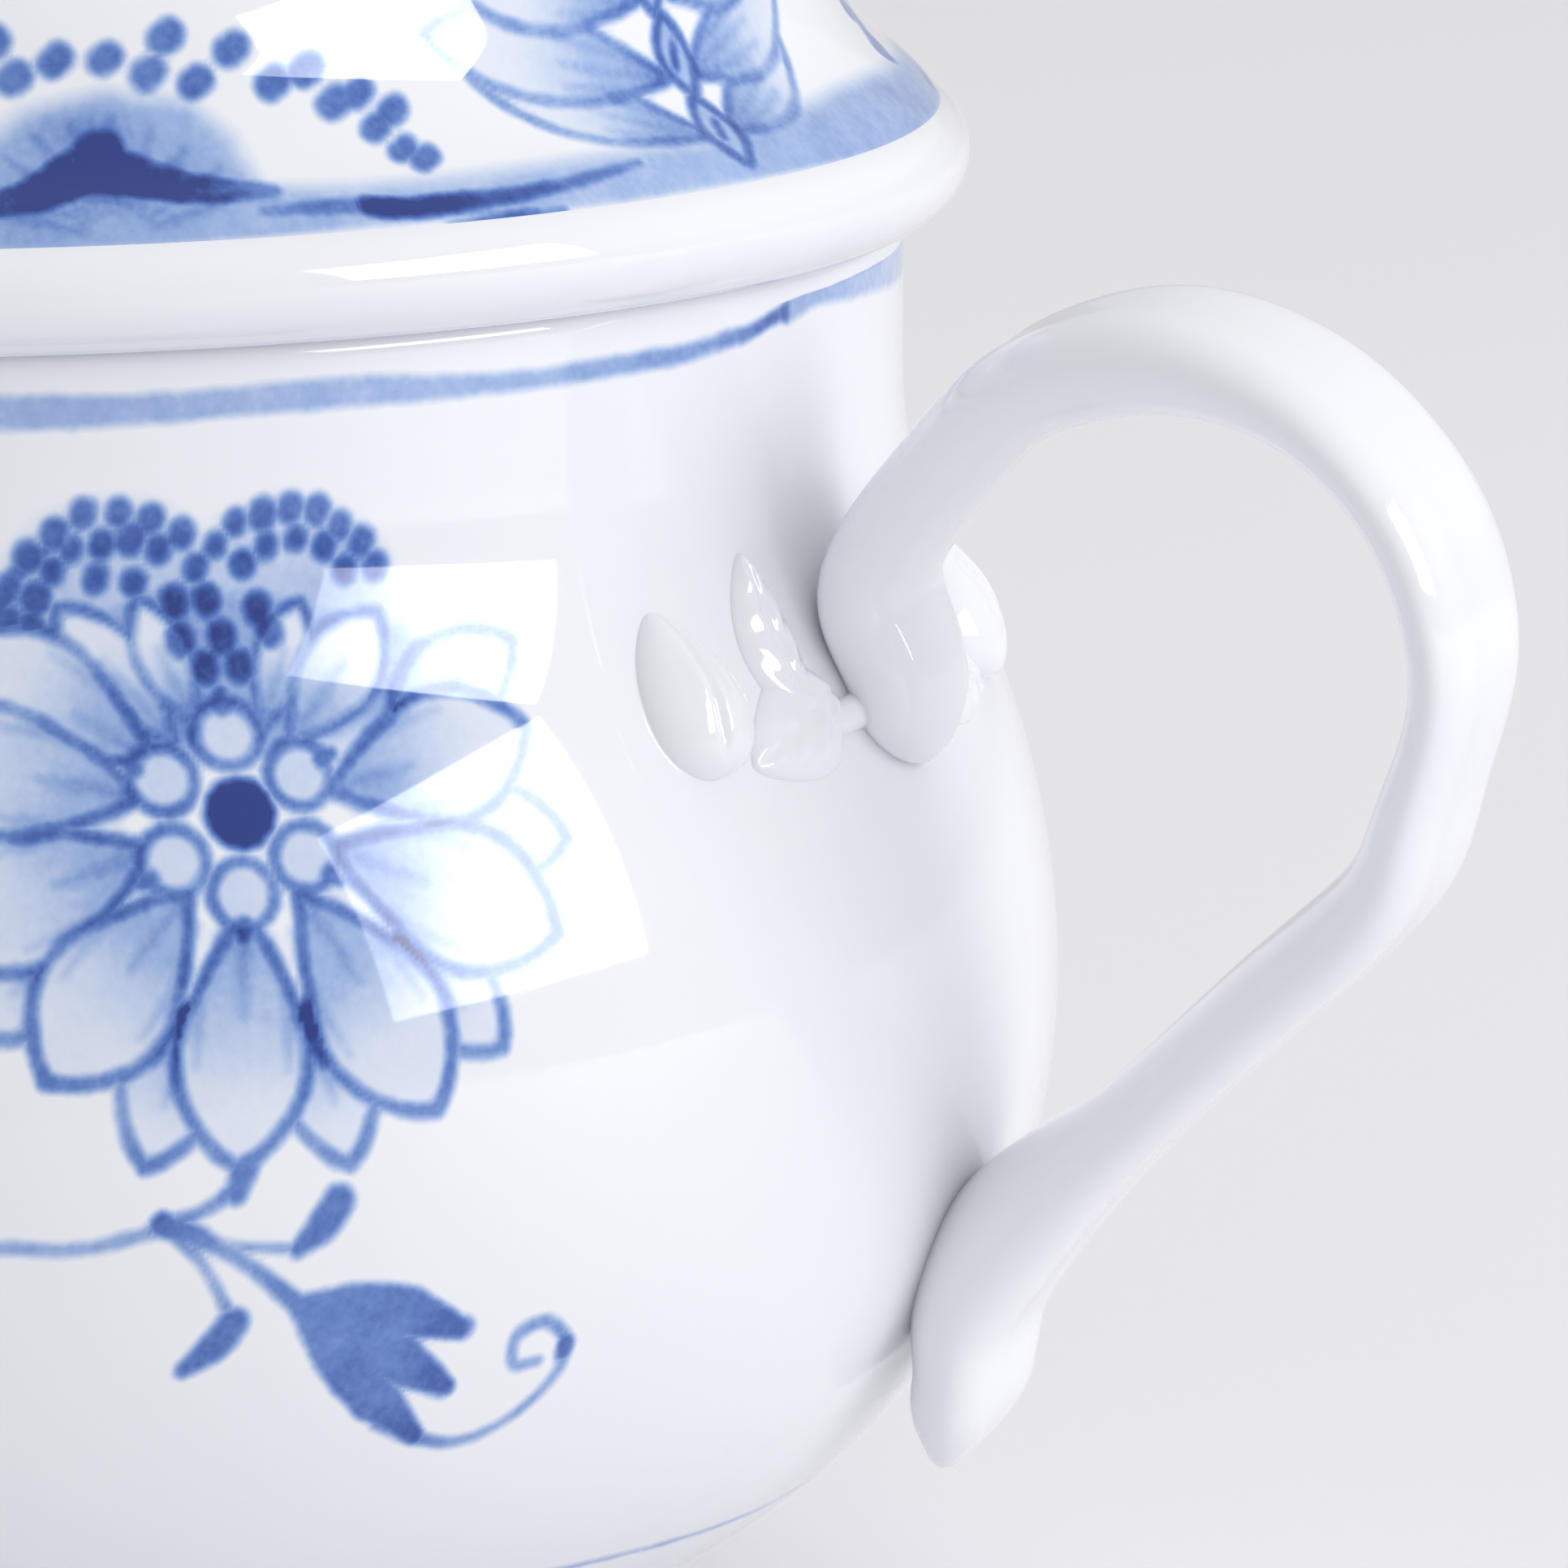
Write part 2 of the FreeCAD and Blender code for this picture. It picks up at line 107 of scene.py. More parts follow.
def line(start, end, step):
    """Straight run of points about a step apart."""
    count = max(2, int(math.dist(start, end) / step) + 1)
    return np.linspace(start, end, count)


def curve(points, step=0.25):
    """Smooth curve through points, as close points along it."""
    knots = np.array([points[0], *points, points[-1]], float)
    knots[0] = 2 * knots[1] - knots[2]
    knots[-1] = 2 * knots[-2] - knots[-3]
    out = []
    for a, b, c, d in zip(knots, knots[1:], knots[2:], knots[3:]):
        for u in np.linspace(0, 1, max(3, int(np.linalg.norm(c - b) / step)), endpoint=False):
            out.append(0.5 * (2 * b + (c - a) * u + (2 * a - 5 * b + 4 * c - d) * u ** 2
                              + (3 * b - a - 3 * c + d) * u ** 3))
    out.append(knots[-2])
    return np.array(out)


def joined(*runs):
    """One outline from runs that meet end to end."""
    points = [runs[0]]
    for run in runs[1:]:
        points.append(run[1:] if np.allclose(run[0], points[-1][-1], atol=1e-3) else run)
    return np.vstack(points)


def arc_length(points):
    """Distance of each point from the first, along the line through them."""
    return np.concatenate([[0], np.cumsum(np.linalg.norm(np.diff(points, axis=0), axis=1))])


class Surface:
    """A turned surface, addressed by the angle round the axis and the distance t along its outline."""

    def __init__(self, outline, zero_height):
        self.outline = outline
        self.length = arc_length(outline)
        self.length -= np.interp(zero_height, outline[:, 1], self.length)

    def at(self, t):
        """Radius and height at a distance t, and the outward normal there."""
        radii, heights = self.outline.T
        r = np.interp(t, self.length, radii)
        z = np.interp(t, self.length, heights)
        step = 0.1
        dr = np.interp(t + step, self.length, radii) - np.interp(t - step, self.length, radii)
        dz = np.interp(t + step, self.length, heights) - np.interp(t - step, self.length, heights)
        size = np.hypot(dr, dz) + 1e-9
        return r, z, dz / size, -dr / size

    def place(self, turn, t, lift):
        """Points at an angle in radians and a distance t, lifted off the surface."""
        r, z, out_r, out_z = self.at(t)
        r = r + out_r * lift
        return np.stack(np.broadcast_arrays(r * np.cos(turn), r * np.sin(turn), z + out_z * lift), -1)

    def t_of_height(self, height):
        return float(np.interp(height, self.outline[:, 1], self.length))


def bowl_side(offset, low):
    """Outline of the bowl's side, from a low height to the end of the neck, moved inwards by offset."""
    base = BASE_ARC - offset
    shoulder = SHOULDER_ARC - offset
    swell = BELLY - NECK
    drop = NECK_HEIGHT - BELLY_HEIGHT
    both = (drop ** 2 + swell ** 2) / (2 * swell)
    neck = both - SHOULDER_ARC + offset
    meet = math.degrees(math.asin(drop / both))
    start = -math.degrees(math.asin((BELLY_HEIGHT - low) / base))
    return joined(
        arc((BELLY - BASE_ARC, BELLY_HEIGHT), base, start, 0, 0.05),
        arc((BELLY - SHOULDER_ARC, BELLY_HEIGHT), shoulder, 0, meet, 0.05),
        arc((NECK + both - SHOULDER_ARC, NECK_HEIGHT), neck, 180 + meet, 180, 0.05),
        line((NECK - offset, NECK_HEIGHT), (NECK - offset, LIP - 1.1), 0.05),
    )


def lid_top():
    """Outline of the lid's upper side, from the crease above the rolled rim to the centre of the crown."""
    centre = (DOME - DOME_ARC * math.cos(math.radians(DOME_START)),
              DOME_RING - DOME_ARC * math.sin(math.radians(DOME_START)))
    last = arc(centre, DOME_ARC, DOME_START, DOME_END)[-1]
    crown = last[0] / math.cos(math.radians(DOME_END))
    crown_centre = (0, last[1] - crown * math.sin(math.radians(DOME_END)))
    crease = (RIM - 1.15, SEAT + CREASE)
    foot = (DOME + 2.9, DOME_RING - 4.25)
    return joined(
        bowed(crease, foot, 7.0, 1),
        bowed(foot, (DOME, DOME_RING), 7.5, -1),
        arc(centre, DOME_ARC, DOME_START, DOME_END, 0.05),
        arc(crown_centre, crown, DOME_END, 90, 0.05),
    )


def bowed(start, end, radius, side):
    """Short arc between two points, bulging to the right (1) or left (-1) of the way it goes."""
    start, end = np.array(start, float), np.array(end, float)
    chord = end - start
    length = np.linalg.norm(chord)
    across = np.array([-chord[1], chord[0]]) / length * side
    centre = (start + end) / 2 + across * math.sqrt(radius ** 2 - length ** 2 / 4)
    first = math.degrees(math.atan2(*(start - centre)[::-1]))
    turn = (math.degrees(math.atan2(*(end - centre)[::-1])) - first + 180) % 360 - 180
    return arc(centre, radius, first, first + turn, 0.05)


bowl_surface = Surface(bowl_side(0, FOOT_HEIGHT), BELLY_HEIGHT)
lid_surface = Surface(lid_top(), SEAT + CREASE)


# ---------------------------------------------------------------- meshes

def new_object(name, points, faces, body, *nodes, turn_faces=True):
    """Smooth mesh object from points in millimetres, riding on a body in place of CAD nodes."""
    mesh = bpy.data.meshes.new(name)
    mesh.from_pydata((np.asarray(points) * MM).tolist(), [], faces)
    if turn_faces:
        box = bmesh.new()
        box.from_mesh(mesh)
        bmesh.ops.recalc_face_normals(box, faces=box.faces)
        box.to_mesh(mesh)
        box.free()
    mesh.polygons.foreach_set("use_smooth", np.ones(len(mesh.polygons), bool))
    mesh.update()
    piece = bpy.data.objects.new(name, mesh)
    bpy.context.scene.collection.objects.link(piece)
    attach(piece, body)
    if nodes:
        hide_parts(*nodes)
    return piece


def set_attribute(piece, name, values):
    """Store one number per mesh point for the shader."""
    made = piece.data.attributes.new(name, "FLOAT", "POINT")
    made.data.foreach_set("value", np.asarray(values, np.float32))


def turned(rings, turns, coarse_from=math.inf):
    """Turned surface. rings is an outline of (radius, height) that may start or end on the axis. From ring
    coarse_from on, only every fourth column is kept. Gives points, faces and the angle of each point."""
    points, turn_of, starts, strides = [], [], [], []
    for number, (r, z) in enumerate(rings):
        on_axis = r < 1e-6
        stride = 0 if on_axis else (4 if number >= coarse_from else 1)
        own = turns[:1] if on_axis else turns[::stride]
        starts.append(len(turn_of))
        strides.append(stride)
        points.append(np.column_stack((r * np.cos(own), r * np.sin(own), np.full(len(own), z))))
        turn_of += list(own)
    faces = []
    count = len(turns)
    for number in range(len(rings) - 1):
        a, b = starts[number], starts[number + 1]
        sa, sb = strides[number], strides[number + 1]
        if sa == 0 or sb == 0:
            ring, pole, stride = (b, a, sb) if sa == 0 else (a, b, sa)
            size = count // stride
            fan = [(pole, ring + k, ring + (k + 1) % size) for k in range(size)]
            faces += [face[::-1] for face in fan] if sa == 0 else fan
        elif sa == sb:
            size = count // sa
            faces += [(a + k, a + (k + 1) % size, b + (k + 1) % size, b + k) for k in range(size)]
        else:
            for k in range(count // 4):
                fine = [a + (4 * k + j) % count for j in range(5)]
                near, far = b + k, b + (k + 1) % (count // 4)
                faces += [(near, fine[0], fine[1]), (near, fine[1], fine[2]), (near, fine[2], far),
                          (far, fine[2], fine[3]), (far, fine[3], fine[4])]
    return np.vstack(points), faces, np.array(turn_of)


def columns(zones):
    """Angles in radians from zones of (start, end, step) in degrees, a multiple of four in each zone."""
    turns = []
    for start, end, step in zones:
        count = 4 * max(1, round((end - start) / step / 4))
        turns += list(np.radians(np.linspace(start, end, count, endpoint=False)))
    return np.array(turns)


def grid_faces(rows, cols, start=0, closed=False):
    """Four-sided faces of a grid of points, all the way round if closed."""
    faces = []
    last = cols if closed else cols - 1
    for i in range(rows - 1):
        row = start + i * cols
        for j in range(last):
            k = (j + 1) % cols
            faces.append((row + j, row + k, row + cols + k, row + cols + j))
    return faces


def slab(top, bottom):
    """Closed solid between two grids of points of the same size."""
    rows, cols = top.shape[:2]
    size = rows * cols
    points = np.vstack((top.reshape(-1, 3), bottom.reshape(-1, 3)))
    faces = grid_faces(rows, cols) + [face[::-1] for face in grid_faces(rows, cols, size)]
    edge = [j for j in range(cols)]
    edge += [i * cols + cols - 1 for i in range(1, rows)]
    edge += [(rows - 1) * cols + j for j in range(cols - 2, -1, -1)]
    edge += [i * cols for i in range(rows - 2, 0, -1)]
    for a, b in zip(edge, edge[1:] + edge[:1]):
        faces.append((a, a + size, b + size, b))
    return points, faces


def tube(rings):
    """Closed solid from rings of points, with a point at each end."""
    rows, cols = rings.shape[:2]
    ends = np.array([rings[0].mean(0), rings[-1].mean(0)])
    points = np.vstack((rings.reshape(-1, 3), ends))
    faces = grid_faces(rows, cols, 0, True)
    first, last = rows * cols, rows * cols + 1
    for j in range(cols):
        k = (j + 1) % cols
        faces.append((first, k, j))
        faces.append((last, (rows - 1) * cols + j, (rows - 1) * cols + k))
    return points, faces


# ---------------------------------------------------------------- brush painting

STROKE_REACH = 1.2


class Painting:
    """Brush strokes on a turned surface, kept at its mesh points. Line, vein and dab say how far inside the
    nearest stroke a point lies, in millimetres. Ink is that line's strength, and wash is a soft tint."""

    def __init__(self, surface, turn, t, on_surface):
        self.surface = surface
        self.turn = turn
        self.t = t
        self.radius = surface.at(np.maximum(t, surface.length[0]))[0]
        count = len(turn)
        self.line = np.full(count, -1.0)
        self.vein = np.full(count, -1.0)
        self.dab = np.full(count, -1.0)
        self.ink = np.full(count, 0.5)
        self.wash = np.zeros(count)
        self.on_surface = on_surface
        self.move(0, 0)

    def move(self, angle, t, size=1, tilt=0, mirror=1):
        """Set where the next strokes go: their origin, size and turn, in degrees."""
        away = (self.turn - math.radians(angle) + math.pi) % (2 * math.pi) - math.pi
        x, y = away * self.radius / size, (self.t - t) / size
        c, s = math.cos(math.radians(tilt)), math.sin(math.radians(tilt))
        self.x = (x * c + y * s) * mirror
        self.y = y * c - x * s
        self.size = size

    def near(self, points, reach):
        low, high = points.min(0) - reach, points.max(0) + reach
        return np.flatnonzero(self.on_surface & (self.x > low[0]) & (self.x < high[0])
                              & (self.y > low[1]) & (self.y < high[1]))

    def inside_by(self, own, points, half):
        """How far each point lies inside a stroke with the given half widths, and its place along it."""
        x, y = self.x[own], self.y[own]
        best = np.full(len(own), -9.0)
        place = np.zeros(len(own))
        for k in range(len(points) - 1):
            d = points[k + 1] - points[k]
            u = np.clip(((x - points[k, 0]) * d[0] + (y - points[k, 1]) * d[1]) / max(d @ d, 1e-9), 0, 1)
            gap = np.hypot(x - points[k, 0] - u * d[0], y - points[k, 1] - u * d[1])
            depth = half[k] + (half[k + 1] - half[k]) * u - gap
            better = depth > best
            best[better] = depth[better]
            place[better] = (k + u[better]) / (len(points) - 1)
        return best * self.size, place

    def stroke(self, points, widths, ink=0.55, kind="line", smooth_path=True):
        """One brush stroke. widths and ink are numbers, or lists of values from its start to its end."""
        points = curve(points) if smooth_path and len(points) > 2 else np.array(points, float)
        share = np.linspace(0, 1, len(points))
        half = np.interp(share, np.linspace(0, 1, np.size(widths)), np.atleast_1d(widths)) / 2
        own = self.near(points, half.max() + STROKE_REACH)
        depth, place = self.inside_by(own, points, half)
        depth = np.clip(depth, -1, 2)
        if kind == "line":
            strength = np.interp(place, np.linspace(0, 1, np.size(ink)), np.atleast_1d(ink))
            shown = smooth((depth + 0.3) / 0.5) * strength
            already = smooth((self.line[own] + 0.3) / 0.5) * self.ink[own]
            better = np.where((shown > 0) | (already > 0), shown >= already, depth > self.line[own])
            self.line[own[better]] = depth[better]
            self.ink[own[better]] = strength[better]
        else:
            field = getattr(self, kind)
            field[own] = np.maximum(field[own], depth)

    def inside_of(self, own, outline):
        """Signed distance inside a closed outline."""
        x, y = self.x[own], self.y[own]
        gap = -self.inside_by(own, np.vstack((outline, outline[:1])), np.zeros(len(outline) + 1))[0]
        odd = np.zeros(len(own), bool)
        for a, b in zip(outline, np.roll(outline, -1, 0)):
            crosses = (a[1] > y) != (b[1] > y)
            with np.errstate(divide="ignore", invalid="ignore"):
                odd ^= crosses & (x < (b[0] - a[0]) * (y - a[1]) / (b[1] - a[1]) + a[0])
        return np.where(odd, gap, -gap)

    def clear(self, outline):
        """Lift the strokes that a shape drawn next covers."""
        own = self.near(outline, 0.2)
        deep = self.inside_of(own, outline)
        for field in (self.line, self.vein, self.dab):
            field[own] = np.where(deep > 0, np.minimum(field[own], -deep), field[own])
        self.wash[own] *= 1 - smooth((deep + 0.1) / 0.3)

    def tint(self, outline, strength, soft=0.8):
        """A wash inside an outline. strength is a number, or a function of x and y."""
        own = self.near(outline, soft)
        deep = self.inside_of(own, outline)
        amount = strength(self.x[own], self.y[own]) if callable(strength) else strength
        self.wash[own] = np.maximum(self.wash[own], smooth((deep + soft / 2) / soft) * amount)

    def save(self, piece):
        for name in ("line", "ink", "vein", "dab", "wash"):
            set_attribute(piece, "paint_" + name, getattr(self, name))


def rays(angle, *distances):
    """Points on a ray from the origin."""
    turn = math.radians(angle)
    return [(d * math.cos(turn), d * math.sin(turn)) for d in distances]


def looped(outline):
    """An outline with its first point added at the end."""
    return np.vstack((outline, outline[:1]))


def petal_outline(angle, start, end, width, blunt=1.35):
    """Closed outline of a petal that points away from the origin at an angle."""
    u = np.linspace(0, 1, 22)
    half = width / 2 * np.sin(np.pi * u ** blunt) ** 0.75
    along = start + (end - start) * u
    across = np.concatenate((half, -half[-2:0:-1]))
    along = np.concatenate((along, along[-2:0:-1]))
    c, s = math.cos(math.radians(angle)), math.sin(math.radians(angle))
    return np.column_stack((along * c - across * s, along * s + across * c))


def paint_petal(art, angle, start, end, width, veins=3, dark=0.55, base_wash=0.3, blunt=1.35, pen=0.5):
    """Petal with a dark outline, a wash that fades to its tip and pale veins."""
    outline = petal_outline(angle, start, end, width, blunt)
    art.clear(outline)
    c, s = math.cos(math.radians(angle)), math.sin(math.radians(angle))

    def fade(x, y):
        along = (x * c + y * s - start) / (end - start)
        return base_wash * (1.12 - smooth(along * 1.2)) + 0.035

    art.tint(outline, fade, 0.5)
    half = len(outline) // 2
    there = outline[:half + 1]
    back = np.vstack((outline[half:], outline[:1]))
    art.stroke(there, [pen * 0.9, pen, pen * 1.25], [dark, dark * 0.85, dark * 1.1], smooth_path=False)
    art.stroke(back, [pen * 1.2, pen * 0.85, pen], [dark * 1.1, dark * 0.8, dark * 0.95], smooth_path=False)
    for k in range(veins):
        lean = (k - (veins - 1) / 2) / max(1, veins)
        run = end - start
        vein = [(start + run * u, width * lean * (0.35 + 0.75 * math.sin(math.pi * min(u, 0.62))))
                for u in (0.12, 0.35, 0.52 + 0.1 * math.cos(3 * k))]
        vein = [(x * c - y * s, x * s + y * c) for x, y in vein]
        art.stroke(vein, [0.35, 0.45, 0.15], kind="vein")


def dot_arc(art, centre, radius, start, end, count, size, random):
    """Row of dots along an arc."""
    for turn in np.radians(np.linspace(start, end, count)):
        reach = radius + random.uniform(-0.15, 0.15)
        x = centre[0] + reach * math.cos(turn)
        y = centre[1] + reach * math.sin(turn)
        wide = size * random.uniform(0.85, 1.15)
        art.stroke([(x, y - 0.08), (x + 0.05, y + 0.08)], wide, kind="dab")


def paint_fan(art, random):
    """Two lobes of blue wash above the flower, edged with rows of dots."""
    lobes = [((-3.6, 7.1), 4.3), ((2.9, 6.9), 4.2)]
    for centre, radius in lobes:
        outline = np.array(centre) + arc((0, 0), radius, 0, 360, 0.6)[:-1]
        art.tint(outline, lambda x, y: 0.30 - 0.022 * (y - 4.0), 2.2)
    below = [(-8, 3.2), (-6.8, 7), (-2, 8.6), (2, 8.2), (7.6, 6.6), (9.0, 3.6), (3, 2.2), (-3, 2.2)]
    art.tint(np.array(below), 0.36, 1.6)
    for angle, end, width in ((126, 9.6, 2.6), (109, 8.4, 1.9), (66, 8.2, 2.0), (47, 9.4, 3.0)):
        paint_petal(art, angle, 3.4, end, width, 1, 0.42, 0.26, 1.25, 0.4)
    dot_arc(art, (-3.6, 7.2), 3.95, 178, 50, 8, 0.92, random)
    dot_arc(art, (-3.6, 7.2), 3.0, 182, 56, 7, 0.88, random)
    dot_arc(art, (-3.6, 7.2), 1.7, 112, 62, 2, 0.85, random)
    dot_arc(art, (2.9, 7.0), 3.9, 150, 24, 9, 0.88, random)
    dot_arc(art, (2.9, 7.0), 2.75, 130, 34, 5, 0.85, random)
    middle = [(-1.4, 7.85), (-0.2, 7.85), (-1.3, 6.45), (0.3, 6.45), (-0.5, 5.4), (0.8, 5.4), (1.7, 7.4),
              (2.1, 6.6)]
    for x, y in middle:
        art.stroke([(x, y - 0.1), (x, y + 0.1)], 0.95, kind="dab")
    art.stroke([(-8.2, 7.4), (-7.2, 8.9), (-5.9, 9.9)], [1.1, 0.8, 0.5], [0.75, 0.6, 0.5])


def paint_flower(art, random):
    """Open flower from the front: dark heart, six round petals, a ring of long petals and a dotted fan."""
    paint_fan(art, random)
    for angle in (24, -9, -44, -76, -110, -146, -178):
        paint_petal(art, angle, 7.0, 13.2, 3.7, 1, 0.5, 0.34, 0.95)
        art.stroke(rays(angle, 7.6, 9.4), [1.2, 0.5], [0.78, 0.6])
    for angle, end, width in ((144, 11.5, 4.2), (10, 12.2, 4.8), (-162, 13.0, 4.9), (167, 12.8, 4.9),
                              (-24, 13.3, 5.1), (-59, 13.0, 5.0), (-131, 12.2, 5.0), (-95, 12.7, 4.9)):
        paint_petal(art, angle, 3.3, end, width, 3, 0.55, 0.32)
    for angle, reach in ((91, 2.9), (27, 2.75), (-38, 2.85), (-95, 2.95), (-149, 3.1), (153, 3.0)):
        centre = np.array(rays(angle, reach)[0])
        outline = centre + arc((0, 0), 1.22, 0, 360, 0.45)[:-1]
        art.clear(outline)
        art.tint(outline, 0.14, 0.5)
        art.stroke(looped(outline), 0.5, [0.5, 0.6, 0.5], smooth_path=False)
        art.stroke(rays(angle, reach + 1.2, reach + 1.5), [0.9, 0.5], 0.6)
    heart = arc((0, 0), 1.0, 0, 360, 0.5)[:-1]
    art.clear(heart * 1.4)
    art.tint(heart * 1.2, 0.75, 0.5)
    art.stroke(looped(heart) * 0.75, 1.25, kind="dab", smooth_path=False)
    art.stroke([(-0.3, 0.2), (0.3, -0.2)], 1.9, kind="dab")


def paint_stems(art):
    """Knot, curved stems, two small buds, a bell flower and a curled tendril under the flower."""
    knot = [(-0.5, -12.6), (-1.0, -13.2), (-2.2, -14.0), (-3.6, -14.6)]
    art.stroke(knot, [0.5, 0.6, 0.5, 0.8], [0.6, 0.6, 0.45, 0.6])
    art.stroke([(-0.9, -12.8), (-1.15, -13.5)], [0.9, 0.75], kind="dab")
    art.stroke([(-3.9, -14.5), (-2.4, -15.0)], [0.9, 0.7], [0.75, 0.6])
    art.stroke([(-3.6, -14.6), (-1.5, -15.4), (1.2, -15.7)], [0.7, 0.4, 0.4], [0.6, 0.4, 0.45])
    art.stroke([(1.2, -15.75), (2.1, -15.0), (2.75, -14.1)], [0.5, 1.15, 1.15], kind="dab")
    art.stroke([(-3.4, -14.8), (-2.2, -16.3), (-1.1, -18.3)], [0.6, 0.4, 0.5], [0.55, 0.4, 0.5])
    art.stroke([(-1.1, -18.4), (-1.7, -19.2), (-2.8, -20.1)], [1.1, 1.15, 0.5], kind="dab")
    art.stroke([(-2.6, -15.0), (-0.8, -16.1), (1.3, -17.8)], [0.8, 0.55, 0.8], [0.6, 0.45, 0.6])
    art.stroke([(1.2, -17.8), (4.2, -18.1), (7.9, -19.4)], [0.7, 1.5, 2.0, 0.9], [0.62, 0.6, 0.66, 0.8])
    art.stroke([(1.3, -17.9), (4.3, -19.7), (7.6, -21.8)], [0.8, 1.9, 2.0, 0.8], [0.62, 0.6, 0.68, 0.8])
    art.stroke([(1.3, -17.9), (3.4, -20.6), (6.6, -23.8)], [0.8, 1.6, 1.9, 0.8], [0.62, 0.62, 0.7, 0.85])
    for end in ((8.0, -19.4), (7.4, -21.8), (6.4, -23.6)):
        art.stroke([(end[0] - 1.4, end[1] + 0.55), end], [0.45, 0.8], kind="dab")
    tendril = [(6.6, -23.9), (8.4, -24.3), (10.6, -23.5), (12.3, -21.9), (12.6, -20.5), (11.5, -19.6),
               (10.3, -20.1), (10.4, -21.2), (11.4, -21.2)]
    art.stroke(tendril, [0.6, 0.42, 0.5, 0.55, 0.45], [0.6, 0.42, 0.42, 0.5, 0.5])
    art.stroke([(12.5, -21.0), (12.6, -20.6)], 0.7, [0.75])


def paint_leaf(art, angle, length, width, dark=0.5):
    """Long pointed leaf from the origin, with a midrib and slanting veins."""
    outline = petal_outline(angle, 0, length, width, 0.95)
    art.clear(outline)
    c, s = math.cos(math.radians(angle)), math.sin(math.radians(angle))
    art.tint(outline, lambda x, y: 0.2 + 0.16 * (y * c - x * s > 0), 0.5)
    art.stroke(looped(outline), 0.45, [dark, dark * 0.8, dark * 1.2, dark * 0.8], smooth_path=False)
    art.stroke([(0, 0), (length * c, length * s)], [0.5, 0.3], [dark, dark * 0.7])
    for u in np.arange(0.2, 0.85, 0.15):
        for side in (-1, 1):
            root = u * length
            x, y = (u + 0.12) * length, side * width * 0.34 * math.sin(math.pi * u)
            art.stroke([(root * c, root * s), (x * c - y * s, x * s + y * c)], [0.35, 0.15], kind="vein")


def paint_spray(art, side, random):
    """One painted face of the bowl: a large flower beside a handle, a leafy stem and a smaller flower."""
    flower_t = bowl_surface.t_of_height(38.75)
    art.move(side - 44.4, flower_t)
    paint_flower(art, random)
    paint_stems(art)
    stem = [(-3.6, -14.6), (-6.8, -15.25), (-11, -15.2), (-17, -16.5), (-25, -18.5), (-33, -16.5),
            (-41, -11)]
    art.stroke(stem, [0.55, 0.5, 0.6, 0.7, 0.9, 0.8, 0.6], [0.42, 0.36, 0.4, 0.5, 0.6, 0.5, 0.5])
    leaves = [(-17, -16.5, 118, 12, 3.6), (-21, -17.6, 70, 14, 3.8), (-25, -18.5, -160, 9, 3.2),
              (-29, -17.9, 104, 15, 4.0), (-34, -16, -150, 9, 3.0), (-36, -14.6, 60, 10, 3.2)]
    for x, y, angle, length, width in leaves:
        art.move(side - 44.4, flower_t)
        art.x = art.x - x
        art.y = art.y - y
        paint_leaf(art, angle, length, width)
    art.move(side - 128, flower_t - 4.5, 0.82, 12, -1)
    paint_flower(art, random)
    art.move(side - 106, flower_t - 19.0, 0.9, 0, -1)
    art.y = art.y - 14.0
    art.stroke([(-5.5, -9.5), (-3.6, -14.6)], 0.5, 0.45)
    paint_stems(art)


NECK_BAND_RISE = [(-180, 0.0), (-14, 0.05), (-8, 0.35), (-3.5, 0.75), (1, 1.15), (8, 1.0), (18, 0.6),
                  (40, 0), (180, 0)]
NECK_BAND_HALF = [(-180, 0.62), (-60, 0.66), (-40, 0.5), (-22, 0.4), (-10, 0.36), (-4, 0.3), (-2.5, 0.5),
                  (8, 0.8), (24, 0.72), (45, 0.6), (180, 0.62)]
NECK_BAND_INK = [(-180, 0.42), (-58, 0.38), (-36, 0.4), (-20, 0.46), (-11, 0.6), (-5, 0.95), (-3.2, 0.95),
                 (-2.4, 0.4), (10, 0.34), (30, 0.38), (60, 0.42), (180, 0.42)]


def paint_bowl(art):
    """Both faces, the band round the neck, which overlaps itself at each handle, and the low line."""
    random = np.random.default_rng(SEED)
    for side in (0, 180):
        paint_spray(art, side, random)
    art.move(0, 0)
    angle = np.degrees(art.turn + math.pi) % 360 - 180
    wave = 0.09 * np.sin(np.radians(angle * 7 + 20)) + 0.06 * np.sin(np.radians(angle * 17))
    neck_t = bowl_surface.t_of_height(52.85)
    for side in (0, 180):
        own = (angle - side + 180) % 360 - 180
        rise = blend(NECK_BAND_RISE, own)
        half = blend(NECK_BAND_HALF, own)
        ink = blend(NECK_BAND_INK, own)
        here = art.on_surface & (np.abs(own) <= 90)
        depth = half + wave * 0.5 - np.abs(art.t - neck_t - rise - wave)
        near = here & (depth > -0.9)
        art.line[near] = depth[near]
        art.ink[near] = ink[near] * 0.85
    low_t = bowl_surface.t_of_height(8.55)
    depth = 0.2 + wave * 0.3 - np.abs(art.t - low_t - wave * 1.5)
    near = art.on_surface & (depth > -0.9)
    art.line[near] = depth[near]
    art.ink[near] = 0.34 + 0.1 * np.sin(np.radians(angle[near] * 3 + 70))


